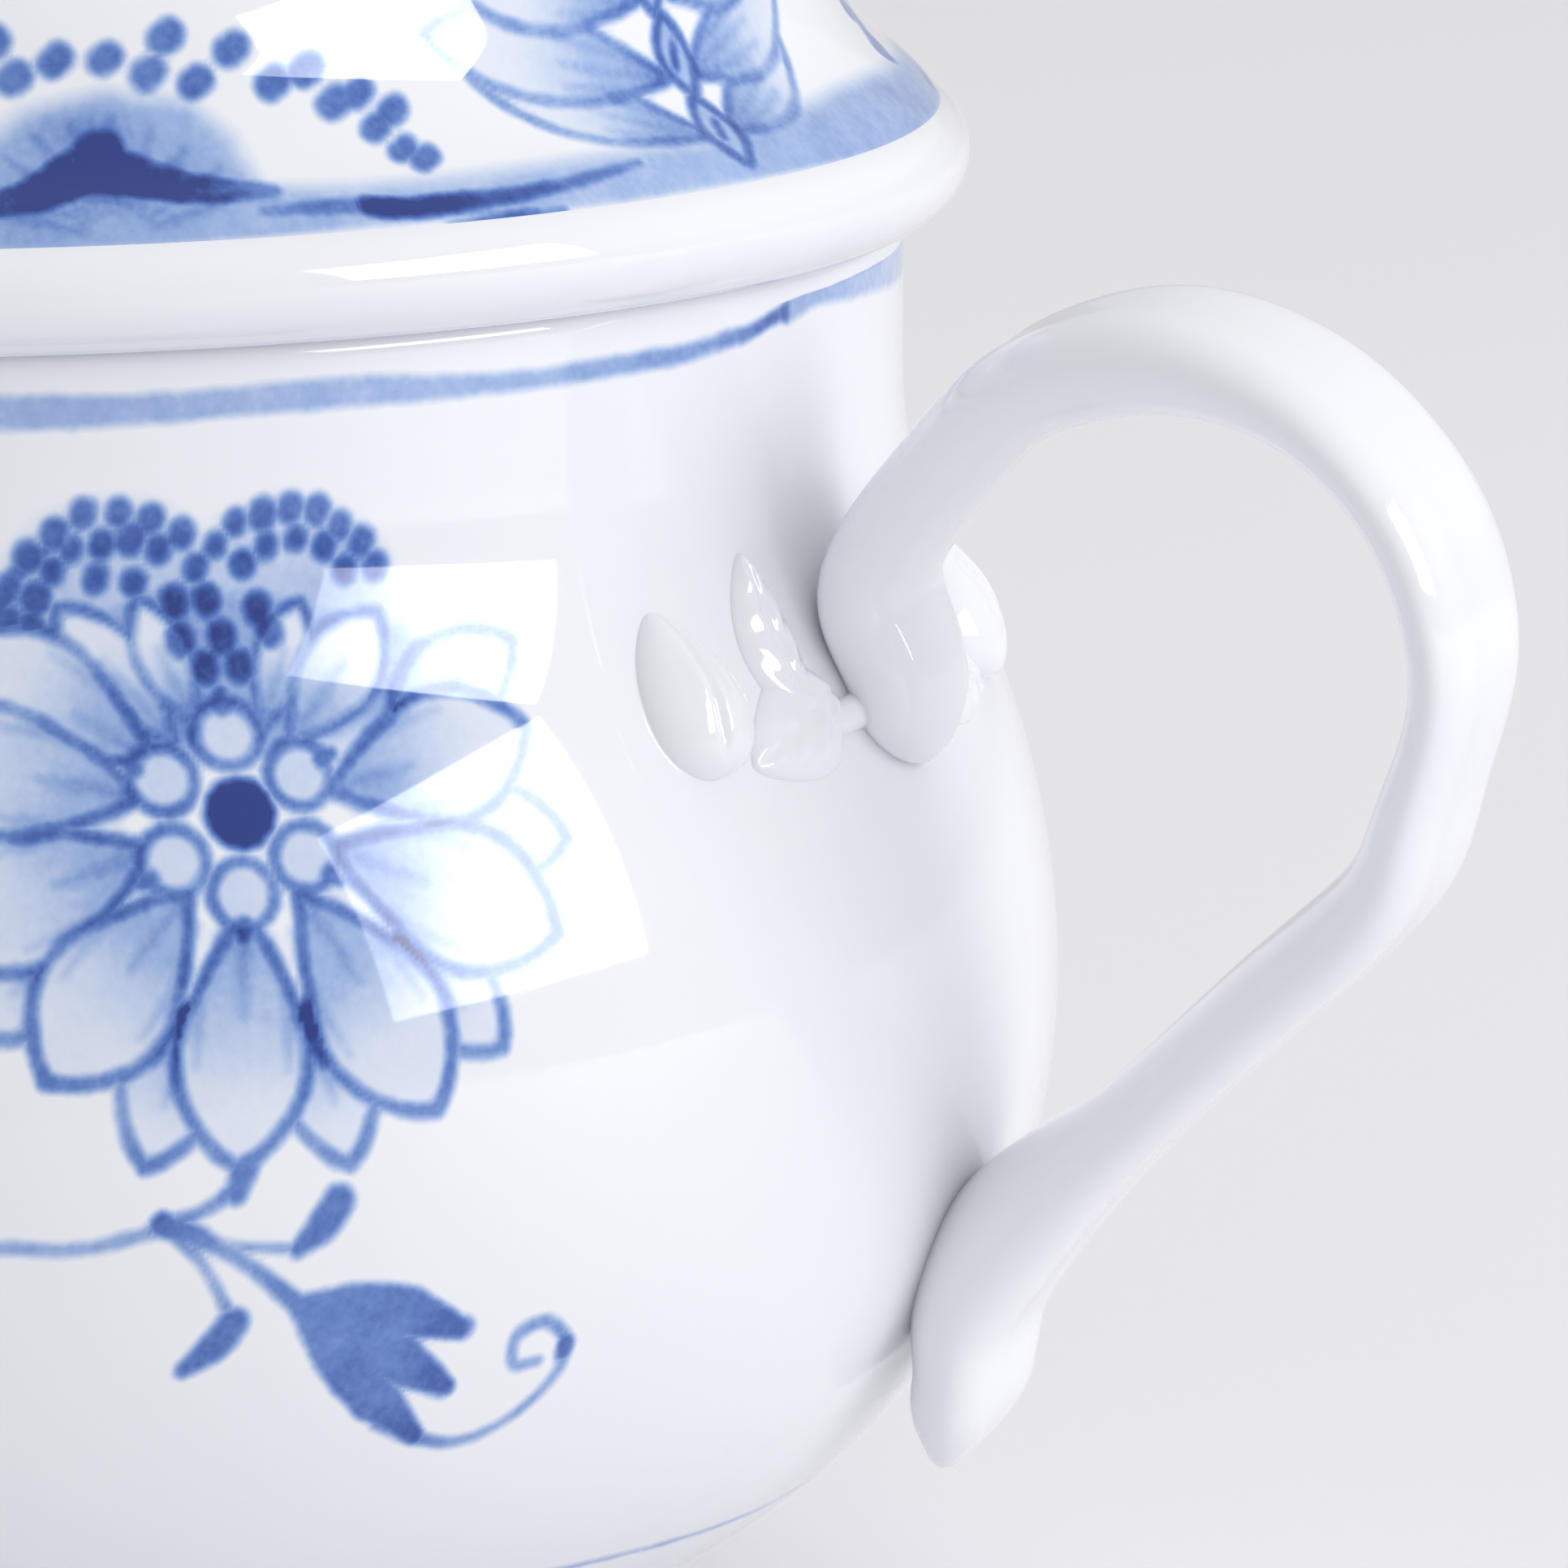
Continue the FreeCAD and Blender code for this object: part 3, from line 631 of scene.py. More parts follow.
def paint_lid_blossom(art, random):
    """Fan blossom seen from the side, standing on the rim, under an arch of dots."""
    fan = [(-5.4, 2.4), (-4.6, 4.2), (-2.6, 5.6), (0.4, 6.2), (3.4, 5.8), (5.0, 4.4), (5.6, 2.2), (1.0, 1.4),
           (-2, 1.4)]
    art.tint(np.array(fan), lambda x, y: 0.62 - 0.05 * np.abs(x) - 0.03 * y, 1.4)
    for angle in range(20, 170, 16):
        art.stroke(rays(angle, 1.4, 3.4, 5.2), [0.3, 0.5, 0.25], kind="vein")
    heart = [(-6.2, 1.5), (-3.0, 2.0), (-0.3, 3.2), (2.8, 2.2), (6.0, 1.8)]
    art.stroke(heart, [0.7, 1.5, 2.2, 1.5, 0.7], [0.45, 0.72, 0.9, 0.66, 0.4])
    art.stroke([(-0.7, 3.0), (0.0, 4.1), (0.5, 3.0)], [1.3, 1.5, 1.3], kind="dab")
    arch = [(0.33, 7.7), (2.65, 8.4), (1.9, 7.1), (3.65, 6.7), (5.1, 7.8), (6.6, 6.5), (8.0, 6.9),
            (8.95, 5.6), (9.95, 5.9), (10.5, 4.5), (11.3, 5.1), (11.4, 3.5), (12.2, 3.0)]
    for side in (-1, 1):
        for x, y in arch:
            shift = side * x + (0.2 if side > 0 else -0.9)
            wide = random.uniform(0.95, 1.15)
            art.stroke([(shift - 0.15, y - 0.3), (shift + 0.15, y - 0.1)], wide, kind="dab")
        ground = [(side * 11.5, 0.4), (side * 8.5, 0.9), (side * 5.5, 0.9)]
        art.stroke(ground, [0.5, 0.7, 0.4], [0.5, 0.4, 0.3])


def paint_lid_chain(art):
    """Chain of almond beads that climbs the lid, with long veined petals on both sides."""
    petals = [(1.8, 158, 11.5, 3.2), (4.6, 166, 12.5, 3.6), (7.8, 170, 11.0, 3.4), (11.2, 158, 9.5, 3.2),
              (15, 150, 8.0, 2.8)]
    for side in (-1, 1):
        for start, angle, length, width in petals:
            turn = angle if side < 0 else 180 - angle
            share = 1 if side < 0 else 0.78
            outline = petal_outline(turn, 0.5, length * share, width, 1.25) + np.array([0, start])
            art.clear(outline)
            c, s = math.cos(math.radians(turn)), math.sin(math.radians(turn))
            art.tint(outline, lambda x, y, c=c, s=s, start=start, length=length: 0.34 * (
                1 - smooth((x * c + (y - start) * s) / length * 1.3)) + 0.06, 0.6)
            shades = [0.42, 0.36, 0.46, 0.36, 0.42]
            art.stroke(looped(outline), [0.4, 0.45, 0.55, 0.45, 0.4], shades, smooth_path=False)
            for lean in (-0.22, 0.05, 0.3):
                vein = [(u * length, lean * width * math.sin(math.pi * u)) for u in (0.1, 0.3, 0.5)]
                vein = [(x * c - y * s, start + x * s + y * c) for x, y in vein]
                art.stroke(vein, [0.4, 0.4, 0.15], kind="vein")
    for k in range(6):
        low = 0.6 + 3.3 * k
        lean = 0.25 * math.sin(2.0 * k)
        bead = petal_outline(90, 0, 3.3, 1.9, 1.0) + np.array([lean, low])
        art.clear(bead)
        art.tint(bead, 0.3, 0.4)
        art.stroke(looped(bead), 0.5, [0.55, 0.65, 0.55], smooth_path=False)
        art.stroke([(lean - 0.2, low + 1.3), (lean + 0.15, low + 2.0)], 0.4, 0.6)


def paint_lid(art):
    """Wash above the rim, a line below the crown, and four times a blossom, a chain and dark strokes."""
    random = np.random.default_rng(SEED + 1)
    art.move(0, 0)
    angle = np.degrees(art.turn)
    wave = np.sin(np.radians(angle * 5 + 40)) * 0.12 + np.sin(np.radians(angle * 13)) * 0.06
    band = smooth((art.t + 0.25 + wave) / 0.5) * (1 - smooth((art.t - 1.6 - 2.5 * wave) / 1.4))
    upper = smooth((art.t - 19.5 - wave) / 0.5) * (1 - smooth((art.t - 20.6 - wave) / 0.7))
    streak = 0.34 + 0.07 * np.sin(np.radians(angle * 4 + 15))
    art.wash = np.where(art.on_surface, np.maximum(band * streak, upper * 0.4), 0)
    for step in range(4):
        art.move(90 * step - 49.5, 0.2)
        paint_lid_blossom(art, random)
        art.move(90 * step - 9.2, 0.2)
        paint_lid_chain(art)
    for step in range(4):
        art.move(90 * step - 32, 0.5)
        drawn_out = [(-2.6, 0.5), (-1.4, 0.3), (0.5, 0.3), (5, 0.5), (10, 1.1)]
        art.stroke(drawn_out, [0.9, 0.9, 0.6, 0.5, 0.3], [0.9, 0.9, 0.6, 0.45, 0.35])
        art.stroke([(0.4, -0.75), (2.4, -0.6), (5.5, -0.5)], [0.5, 0.6, 0.3], [0.6, 0.75, 0.45])


# ---------------------------------------------------------------- materials

WHITE = (0.868, 0.880, 0.920)
PIGMENT = [(0.0, WHITE), (0.12, (0.62, 0.70, 0.86)), (0.28, (0.34, 0.47, 0.75)), (0.5, (0.13, 0.245, 0.59)),
           (0.72, (0.048, 0.12, 0.43)), (1.0, (0.012, 0.036, 0.225))]


class Nodes:
    """Small helper that adds and links shader nodes of one material."""

    def __init__(self, name):
        self.material = bpy.data.materials.new(name)
        self.material.use_nodes = True
        self.tree = self.material.node_tree
        self.shader = self.tree.nodes["Principled BSDF"]

    def add(self, kind, settings=None, **inputs):
        node = self.tree.nodes.new(kind)
        for key, value in (settings or {}).items():
            setattr(node, key, value)
        for key, value in inputs.items():
            self.feed(node, key, value)
        return node

    def feed(self, node, key, value):
        """Set or link an input, which is named, or numbered as i0, i1 and so on."""
        numbered = key[0] == "i" and key[1:].isdigit()
        socket = node.inputs[int(key[1:]) if numbered else key.replace("_", " ")]
        if isinstance(value, bpy.types.NodeSocket):
            self.tree.links.new(value, socket)
        else:
            socket.default_value = value

    def math(self, operation, *values):
        node = self.add("ShaderNodeMath", {"operation": operation})
        for index, value in enumerate(values):
            self.feed(node, f"i{index}", value)
        return node.outputs[0]

    def noise(self, scale, detail=2.0, place=None):
        node = self.add("ShaderNodeTexNoise", Scale=scale, Detail=detail)
        self.feed(node, "Vector", place or self.place)
        return node.outputs["Fac"]

    def attribute(self, name):
        return self.add("ShaderNodeAttribute", {"attribute_name": name}).outputs["Fac"]

    def step(self, value, low, high):
        node = self.add("ShaderNodeMapRange", {"interpolation_type": "SMOOTHSTEP"})
        for key, number in (("Value", value), ("From_Min", low), ("From_Max", high)):
            self.feed(node, key, number)
        return node.outputs["Result"]

    def ramp(self, value, stops):
        node = self.add("ShaderNodeValToRGB")
        self.feed(node, "Fac", value)
        band = node.color_ramp
        while len(band.elements) < len(stops):
            band.elements.new(0.5)
        for element, (place, color) in zip(band.elements, stops):
            element.position = place
            element.color = (*color, 1)
        return node.outputs["Color"]

    def mix(self, share, first, second, blend_type="MIX"):
        node = self.add("ShaderNodeMix", {"data_type": "RGBA", "blend_type": blend_type})
        for index, value in ((0, share), (6, first), (7, second)):
            self.feed(node, f"i{index}", value if not isinstance(value, tuple) else (*value, 1))
        return node.outputs[2]


def start_glaze(name):
    """Clear gloss glaze with a faint waviness and slightly uneven gloss."""
    nodes = Nodes(name)
    nodes.place = nodes.add("ShaderNodeTexCoord").outputs["Object"]
    wavy = nodes.noise(95, 1.0)
    fine = nodes.noise(620, 2.0)
    height = nodes.math("ADD", nodes.math("MULTIPLY", wavy, 1.0), nodes.math("MULTIPLY", fine, 0.05))
    bump = nodes.add("ShaderNodeBump", Strength=0.35, Distance=0.00006, Height=height)
    nodes.tree.links.new(bump.outputs["Normal"], nodes.shader.inputs["Normal"])
    rough = nodes.math("MULTIPLY_ADD", nodes.noise(260, 3.0), 0.035, 0.022)
    nodes.tree.links.new(rough, nodes.shader.inputs["Roughness"])
    nodes.shader.inputs["IOR"].default_value = 1.52
    nodes.shader.inputs["Coat Weight"].default_value = 0.15
    nodes.shader.inputs["Coat Roughness"].default_value = 0.02
    return nodes


def glaze_white(nodes):
    """Bluish white body colour with soft clouds, and painted shade: a darker, cooler tone in hollows and
    creases.
    """
    clouds = nodes.noise(38, 3.0)
    base = nodes.ramp(clouds, [(0.3, (0.858, 0.872, 0.912)), (0.7, (0.882, 0.892, 0.926))])
    # Painted shade: where the surface is concave (low pointiness), the colour is mixed 40% toward a darker
    # grey blue, standing in for shade in creases and where parts meet.
    hollow = nodes.add("ShaderNodeNewGeometry").outputs["Pointiness"]
    painted_crease_shade = nodes.math("SUBTRACT", 1.0, nodes.step(hollow, 0.40, 0.485))
    return nodes.mix(nodes.math("MULTIPLY", painted_crease_shade, 0.4), base, (0.70, 0.76, 0.79))


def white_glaze():
    """Plain glaze for the handles, sprigs and knob, with the painted shade in hollows from glaze_white."""
    nodes = start_glaze("white_glaze")
    nodes.tree.links.new(glaze_white(nodes), nodes.shader.inputs["Base Color"])
    return nodes.material


def painted_glaze(name, foot):
    """Cobalt under the glaze: soft-edged brush lines, dark dabs and washes that grain and pool a little."""
    nodes = start_glaze(name)
    wobble = nodes.math("MULTIPLY_ADD", nodes.noise(900, 2.0), 0.22, -0.11)
    grain = nodes.math("MULTIPLY_ADD", nodes.noise(2600, 3.0), 0.5, 0.75)
    pooling = nodes.math("MULTIPLY_ADD", nodes.noise(420, 2.0), 0.7, 0.65)
    line = nodes.step(nodes.math("ADD", nodes.attribute("paint_line"), wobble), -0.24, 0.27)
    line = nodes.math("MULTIPLY", line, nodes.attribute("paint_ink"))
    line = nodes.math("MULTIPLY", line, nodes.math("MULTIPLY", pooling, 0.9))
    vein = nodes.step(nodes.math("ADD", nodes.attribute("paint_vein"), wobble), -0.35, 0.3)
    dab = nodes.step(nodes.math("ADD", nodes.attribute("paint_dab"), wobble), -0.34, 0.26)
    dab = nodes.math("MULTIPLY", dab, nodes.math("MULTIPLY_ADD", pooling, 0.32, 0.29))
    wash = nodes.math("MULTIPLY", nodes.attribute("paint_wash"), nodes.math("MULTIPLY", pooling, 0.95))
    total = nodes.math("MULTIPLY_ADD", vein, 0.13, wash)
    total = nodes.math("ADD", total, nodes.math("MAXIMUM", line, dab))
    total = nodes.math("MULTIPLY", total, grain)
    blue = nodes.ramp(total, PIGMENT)
    shown = nodes.step(total, 0.0, 0.03)
    color = nodes.mix(shown, glaze_white(nodes), blue)
    if foot:
        height = nodes.add("ShaderNodeSeparateXYZ", Vector=nodes.place).outputs["Z"]
        edge = nodes.math("MULTIPLY_ADD", nodes.noise(500, 2.0), 0.0005, 0.0006)
        bare = nodes.math("LESS_THAN", height, edge)
        clay = nodes.ramp(nodes.noise(3500, 4.0), [(0.3, (0.66, 0.63, 0.58)), (0.7, (0.80, 0.78, 0.73))])
        color = nodes.mix(bare, color, clay)
        rough = nodes.math("MULTIPLY_ADD", bare, 0.6, nodes.shader.inputs["Roughness"].links[0].from_socket)
        nodes.tree.links.new(rough, nodes.shader.inputs["Roughness"])
    nodes.tree.links.new(color, nodes.shader.inputs["Base Color"])
    return nodes.material


# ---------------------------------------------------------------- bowl and lid

UNPAINTED = -99.0


def painted_part(name, body, node, material, points, faces, turn, t, surface, paint):
    """One part of a painted wall: its mesh, its share of the painting and its material."""
    piece = new_object(name, points, faces, body, node, turn_faces=False)
    art = Painting(surface, turn, t, t > UNPAINTED)
    paint(art)
    art.save(piece)
    piece.data.materials.append(material)


def sector(surface, turns, t_values, closed=False):
    """Fine band of a turned surface, all the way round if closed. Gives what painted_part needs."""
    turn, t = np.meshgrid(turns, t_values)
    points = surface.place(turn, t, 0).reshape(-1, 3)
    faces = grid_faces(len(t_values), len(turns), 0, closed)
    return points, faces, turn.ravel(), t.ravel()


def steps(start, end, step):
    """Evenly spread values, about a step apart."""
    return np.linspace(start, end, max(2, round((end - start) / step) + 1))


PAINT_LOW = 12.4
PAINT_HIGH = 51.2


def make_bowl(material):
    """The wall in parts: a fine painted front, the rest of the side, the lip and inside, and the foot."""
    foot = bowl_surface.outline[0, 0]
    t_low, t_high, t_foot = (bowl_surface.t_of_height(z) for z in (PAINT_LOW, PAINT_HIGH, FOOT_HEIGHT))

    def add(name, points, faces, turn, t):
        painted_part(name, "bowl", "bowl_body", material, points, faces, turn, t,
                     bowl_surface, paint_bowl)

    add("bowl_front", *sector(bowl_surface, np.radians(steps(-66, -13, 0.21)), steps(t_low, t_high, 0.18)))
    around = np.concatenate((steps(-13, 25, 1.3)[:-1], steps(25, 155, 0.6)[:-1], steps(155, 205, 1.3)[:-1],
                             steps(205, 294, 0.5)))
    add("bowl_side", *sector(bowl_surface, np.radians(around), steps(t_low, t_high, 0.35)))

    lip = joined(
        line((NECK, LIP - 1.1), (NECK, LIP - 0.5), 0.3),
        arc((NECK - 0.5, LIP - 0.5), 0.5, 0, 90, 0.16),
        arc((NECK - WALL + 1.1, LIP - 1.1), 1.1, 90, 180, 0.24),
    )
    inner = bowl_side(WALL, FLOOR + 1.2)[::-1]
    keep = np.searchsorted(arc_length(inner), np.arange(0, arc_length(inner)[-1], 1.2))
    inner = inner[np.clip(keep, 0, len(inner) - 1)]
    inside = joined(inner, arc((inner[-1, 0] - 2.2, FLOOR + 2.2), 2.2, -32, -90, 0.5),
                    line((inner[-1, 0] - 4.2, FLOOR), (0, FLOOR), 4.0))
    t_neck = steps(t_high, bowl_surface.length[-1], 0.22)
    neck = np.column_stack(bowl_surface.at(t_neck)[:2])
    rings = joined(neck, lip, inside)
    turns = columns([(-66, 14, 0.3), (14, 294, 0.7)])
    points, faces, turn = turned(rings, turns, len(neck) + len(lip))
    t = np.full(len(turn), UNPAINTED)
    t[:len(turns) * len(t_neck)] = np.repeat(t_neck, len(turns))
    add("bowl_lip", points, faces, turn, t)

    ring = foot - FOOT_WIDTH
    under = joined(
        line((0, 2.6), (ring - 1.2, 2.6), 4.0),
        arc((ring - 1.2, 2.1), 0.5, 90, 20, 0.15),
        line((ring - 0.7, 2.1), (ring - 0.1, 0.5), 0.6),
        arc((ring + 0.4, 0.5), 0.5, 190, 270, 0.15),
        line((ring + 0.4, 0), (foot - 0.5, 0), 0.8),
        arc((foot - 0.5, 0.5), 0.5, 270, 360, 0.15),
        line((foot, 0.5), (foot, 3.1), 0.7),
    )
    line_start, line_end = t_foot + 4.5, t_foot + 7.5
    t_base = np.concatenate((steps(t_foot, line_start, 0.6)[:-1], steps(line_start, line_end, 0.2)[:-1],
                             steps(line_end, t_low, 0.6)))
    base = np.column_stack(bowl_surface.at(t_base)[:2])
    points, faces, turn = turned(np.vstack((under, base)), turns)
    t = np.full(len(turn), UNPAINTED)
    t[-len(turns) * len(t_base):] = np.repeat(t_base, len(turns))
    add("bowl_foot", points, faces, turn, t)


LID_PAINTED = 23.0


def make_lid(material):
    """The lid in parts: a fine painted band, the crown, and the rim with the flange and the inside."""
    reach = lid_surface.length[-1]

    def add(name, points, faces, turn, t):
        painted_part(name, "cover", "lid", material, points, faces, turn, t,
                     lid_surface, paint_lid)

    turns = columns([(-66, 24, 0.25), (24, 294, 0.62)])
    fine = np.concatenate((steps(0, 11.2, 0.2)[:-1], steps(11.2, LID_PAINTED, 0.38)))
    add("lid_band", *sector(lid_surface, turns, fine, True))

    t_crown = steps(LID_PAINTED, reach, 1.2)
    crown = np.column_stack(lid_surface.at(t_crown)[:2])
    crown[-1] = (0, lid_surface.outline[-1, 1])
    points, faces, turn = turned(crown, turns[::4])
    add("lid_crown", points, faces, turn, np.full(len(turn), UNPAINTED))

    centre = (DOME - DOME_ARC * math.cos(math.radians(DOME_START)),
              DOME_RING - DOME_ARC * math.sin(math.radians(DOME_START)))
    shoulder = arc(centre, DOME_ARC - LID_WALL, DOME_START, DOME_END, 1.2)
    radius = shoulder[-1, 0] / math.cos(math.radians(DOME_END))
    crown_centre = (0, shoulder[-1, 1] - radius * math.sin(math.radians(DOME_END)))
    inner_crown = arc(crown_centre, radius, DOME_END, 90, 2.0)
    inner_crown[-1, 0] = 0
    wall = FLANGE - 2.1
    low = lid_low.z
    crease = lid_surface.outline[0]
    under = joined(
        inner_crown[::-1],
        shoulder[::-1],
        line((shoulder[0, 0], shoulder[0, 1] - 1), (wall, low + 0.8), 1.5),
        arc((wall + 0.8, low + 0.8), 0.8, 180, 270, 0.25),
        arc((FLANGE - 0.8, low + 0.8), 0.8, -90, 0, 0.25),
        line((FLANGE, low + 0.8), (FLANGE, SEAT - 0.4), 1.0),
        arc((FLANGE + 0.4, SEAT - 0.4), 0.4, 180, 90, 0.2),
        line((FLANGE + 0.4, SEAT), (RIM - 1.6, SEAT), 1.0),
        arc((RIM - 1.5, SEAT + 0.5), 0.5, -90, -30, 0.2),
        bowed((RIM - 1.0, SEAT + 0.3), crease, 2.1, 1)[::5],
        [crease],
    )
    points, faces, turn = turned(under, turns[::2])
    just_below_crease = points[:, 2] > SEAT + CREASE - 0.7
    t = np.where(just_below_crease, -1.0, UNPAINTED)
    add("lid_rim", points, faces, turn, t)


# ---------------------------------------------------------------- handles

HANDLE_HEIGHT = 42.4
HANDLE_LOOP = 10.85
HANDLE_REACH = 64.95
HANDLE_LEAN = 8.0
STRAP_WIDTH = 8.0
STRAP_THICKNESS = 2.8

STRAP_WIDTHS = [(0, 0.72), (0.03, 0.84), (0.08, 0.94), (0.2, 0.97), (0.5, 1), (0.8, 0.98), (0.9, 1.06),
                (0.96, 0.95), (1, 0.62)]
STRAP_THICKNESSES = [(0, 0.9), (0.05, 1.15), (0.15, 1.2), (0.27, 1.4), (0.42, 0.9), (0.52, 0.86),
                     (0.66, 1.15), (0.78, 1.1), (0.88, 1.6), (0.95, 1.15), (1, 0.8)]


def handle_path():
    """Centre line of the strap in the XZ plane: tongue on the shoulder, loop, straight run and tail."""
    def beside(height, lift):
        return (float(bowl_surface.at(bowl_surface.t_of_height(height))[0]) + lift, height)

    centre = (HANDLE_REACH - HANDLE_LOOP, HANDLE_HEIGHT)
    loop = np.radians([142, 118, 88, 58, 28, -2, -31])
    loop = np.column_stack((centre[0] + HANDLE_LOOP * np.cos(loop), centre[1] + HANDLE_LOOP * np.sin(loop)))
    start, foot = (61.6, 33.0), beside(19.2, 2.5)
    run = [np.array(start) + (np.array(foot) - start) * u for u in (0, 0.33, 0.67, 1)]
    return curve([beside(36.8, 0.4), beside(40.4, 1.15), beside(44.2, 2.1), *loop, *run,
                  beside(16.0, 1.75), beside(13.2, 2.8), beside(10.9, 3.7), beside(9.4, 4.3)], 0.2)


def strap_section(width, thickness, channel, turns):
    """Strap section as (across, outwards): an outer face with a shallow channel between two soft ridges."""
    c, s = np.cos(turns), np.sin(turns)
    across = width / 2 * np.sign(c) * np.abs(c) ** 0.8
    out = thickness / 2 * np.sign(s) * np.abs(s) ** 0.9
    share = across / (width / 2)
    out = out - np.where(s > 0, channel * (1 - smooth(np.abs(share) / 0.78)) * 1.6, 0)
    out = out + np.where(s < 0, 0.10 * thickness * (share ** 2 - 1), 0)
    return across, out


def make_handle(name, side, material):
    """Strap swept along its path, leaning round the bowl. side is 0 or 180 degrees."""
    path = handle_path()
    length = arc_length(path)
    even = np.linspace(0, length[-1], 300)
    path = np.column_stack([np.interp(even, length, path[:, k]) for k in (0, 1)])
    for _ in range(6):
        path[1:-1] = (path[:-2] + 2 * path[1:-1] + path[2:]) / 4
    at = even / even[-1]
    along = np.gradient(path, axis=0)
    along /= np.linalg.norm(along, axis=1)[:, None]
    turns = np.linspace(0, 2 * math.pi, 56, endpoint=False)
    lean = math.radians(HANDLE_LEAN)
    rings = []
    for place, (dx, dz), u in zip(path, along, at):
        near_end = min(u / 0.035, (1 - u) / 0.045, 1)
        cap = math.sqrt(max(0.02, 1 - (1 - near_end) ** 2))
        width = STRAP_WIDTH * float(blend(STRAP_WIDTHS, u)) * cap
        thick = STRAP_THICKNESS * float(blend(STRAP_THICKNESSES, u)) * cap
        channel = 0.16 * min(1, width / STRAP_WIDTH) * min(1, 12 * u, 12 * (1 - u))
        across, out = strap_section(width, thick, channel, turns)
        x = place[0] - dz * out
        y = across
        z = place[1] + dx * out - HANDLE_HEIGHT
        rings.append(np.column_stack((x, y * math.cos(lean) - z * math.sin(lean),
                                      HANDLE_HEIGHT + y * math.sin(lean) + z * math.cos(lean))))
    rings = np.array(rings)
    if side == 180:
        rings = rings * np.array([-1, -1, 1])
    points, faces = tube(rings)
    piece = new_object(name, points, faces, "bowl", name.replace("strap", "handle"))
    piece.data.materials.append(material)
    return piece


# ---------------------------------------------------------------- relief sprigs

def relief(surface, angle, t, lean, length, width, rise, shape, mirror, rows=56, cols=40):
    """Closed raised patch that starts at an angle and a distance t and leans away from the handle."""
    u, v = np.meshgrid(np.linspace(0, 1, rows), np.linspace(-1, 1, cols), indexing="ij")
    half, height = shape(u, v)
    tilt = math.radians(lean)
    x = u * length
    y = v * half * width / 2
    up = x * math.cos(tilt) - y * math.sin(tilt)
    away = x * math.sin(tilt) + y * math.cos(tilt)
    radius = surface.at(t + up)[0]
    turn = math.radians(angle) - mirror * away / radius
    top = surface.place(turn, t + up, rise * height)
    bottom = surface.place(turn, t + up, -0.35)
    return slab(top, bottom)


def dome(v, power=0.72):
    """Cross profile of a relief: 1 in the middle and 0 at v of -1 and 1."""
    return np.clip(1 - v ** 2, 0, 1) ** power


def groove(v, centre, wide):
    """Soft bump of height 1 that marks where a groove runs."""
    return np.exp(-((v - centre) / wide) ** 2)


def bud_shape(u, v):
    """Closed bud: pear-shaped, with two outer petals folded round a heart that shows at its tip."""
    half = np.sin(np.pi * np.clip(u, 0.0, 1.0) ** 0.72) ** 0.62
    body = dome(v) * (np.sin(np.pi * u ** 0.7) ** 0.55)
    folds = 0.20 * groove(v, 0.42 - 0.75 * u, 0.09) * smooth(u * 3)
    folds = folds + 0.16 * groove(v, -0.15 - 0.55 * (u - 0.3), 0.08) * smooth((u - 0.25) * 4)
    swell = 0.10 * groove(v, 0.12, 0.25) * smooth((u - 0.1) * 3) * (1 - smooth((u - 0.55) * 3))
    return half, np.maximum(body - folds * body + swell * body, 0) - 0.02


def leaf_shape(fullness, veins):
    """Leaf with a midrib groove and slanting veins. Fullness below 1 widens its foot."""
    def shape(u, v):
        half = np.sin(np.pi * u ** fullness) ** 0.7
        body = dome(v, 0.8) * half ** 0.5
        slant = np.cos(2 * np.pi * veins * (u - 0.28 * np.abs(v)))
        side = 0.07 * slant * (1 - groove(v, 0, 0.16)) * dome(v, 1)
        return half, body * (0.78 + side) - 0.22 * groove(v, 0, 0.2) * body
    return shape


def stem_shape(u, v):
    """Stem that narrows a little along its length."""
    return np.full_like(u, 1.0) * (1 - 0.25 * u), dome(v, 0.5) * np.clip(np.sin(np.pi * u) ** 0.25, 0, 1)


def make_sprig(name, side, mirror, material):
    """Relief sprig beside a handle's root: bud, pointed leaf, heart-shaped leaf and a short curved stem."""
    t = bowl_surface.t_of_height
    parts = [
        ("bud", 15.7, 38.0, 12, 6.6, 5.2, 1.45, bud_shape),
        ("leaf_tall", 8.8, 39.4, 3, 6.4, 3.5, 0.9, leaf_shape(0.8, 4)),
        ("leaf_low", 5.6, 39.9, 108, 6.4, 4.4, 0.85, leaf_shape(0.62, 4)),
        ("stem", 1.6, 39.2, 94, 6.0, 1.5, 0.6, stem_shape),
    ]
    for kind, angle, height, lean, length, width, rise, shape in parts:
        start = side - mirror * angle
        points, faces = relief(bowl_surface, start, t(height), lean, length, width, rise, shape, mirror)
        piece = new_object(f"relief_{kind}_{name}", points, faces, "bowl", f"sprig_{kind}_{name}")
        piece.data.materials.append(material)


# ---------------------------------------------------------------- rosebud knob

def rose_radius(share, width):
    """Outline of the closed bud: swelling from the calyx and closing to the tip."""
    return width * np.clip(np.sin(np.pi * (0.13 + 0.80 * share)), 0, 1) ** 0.8


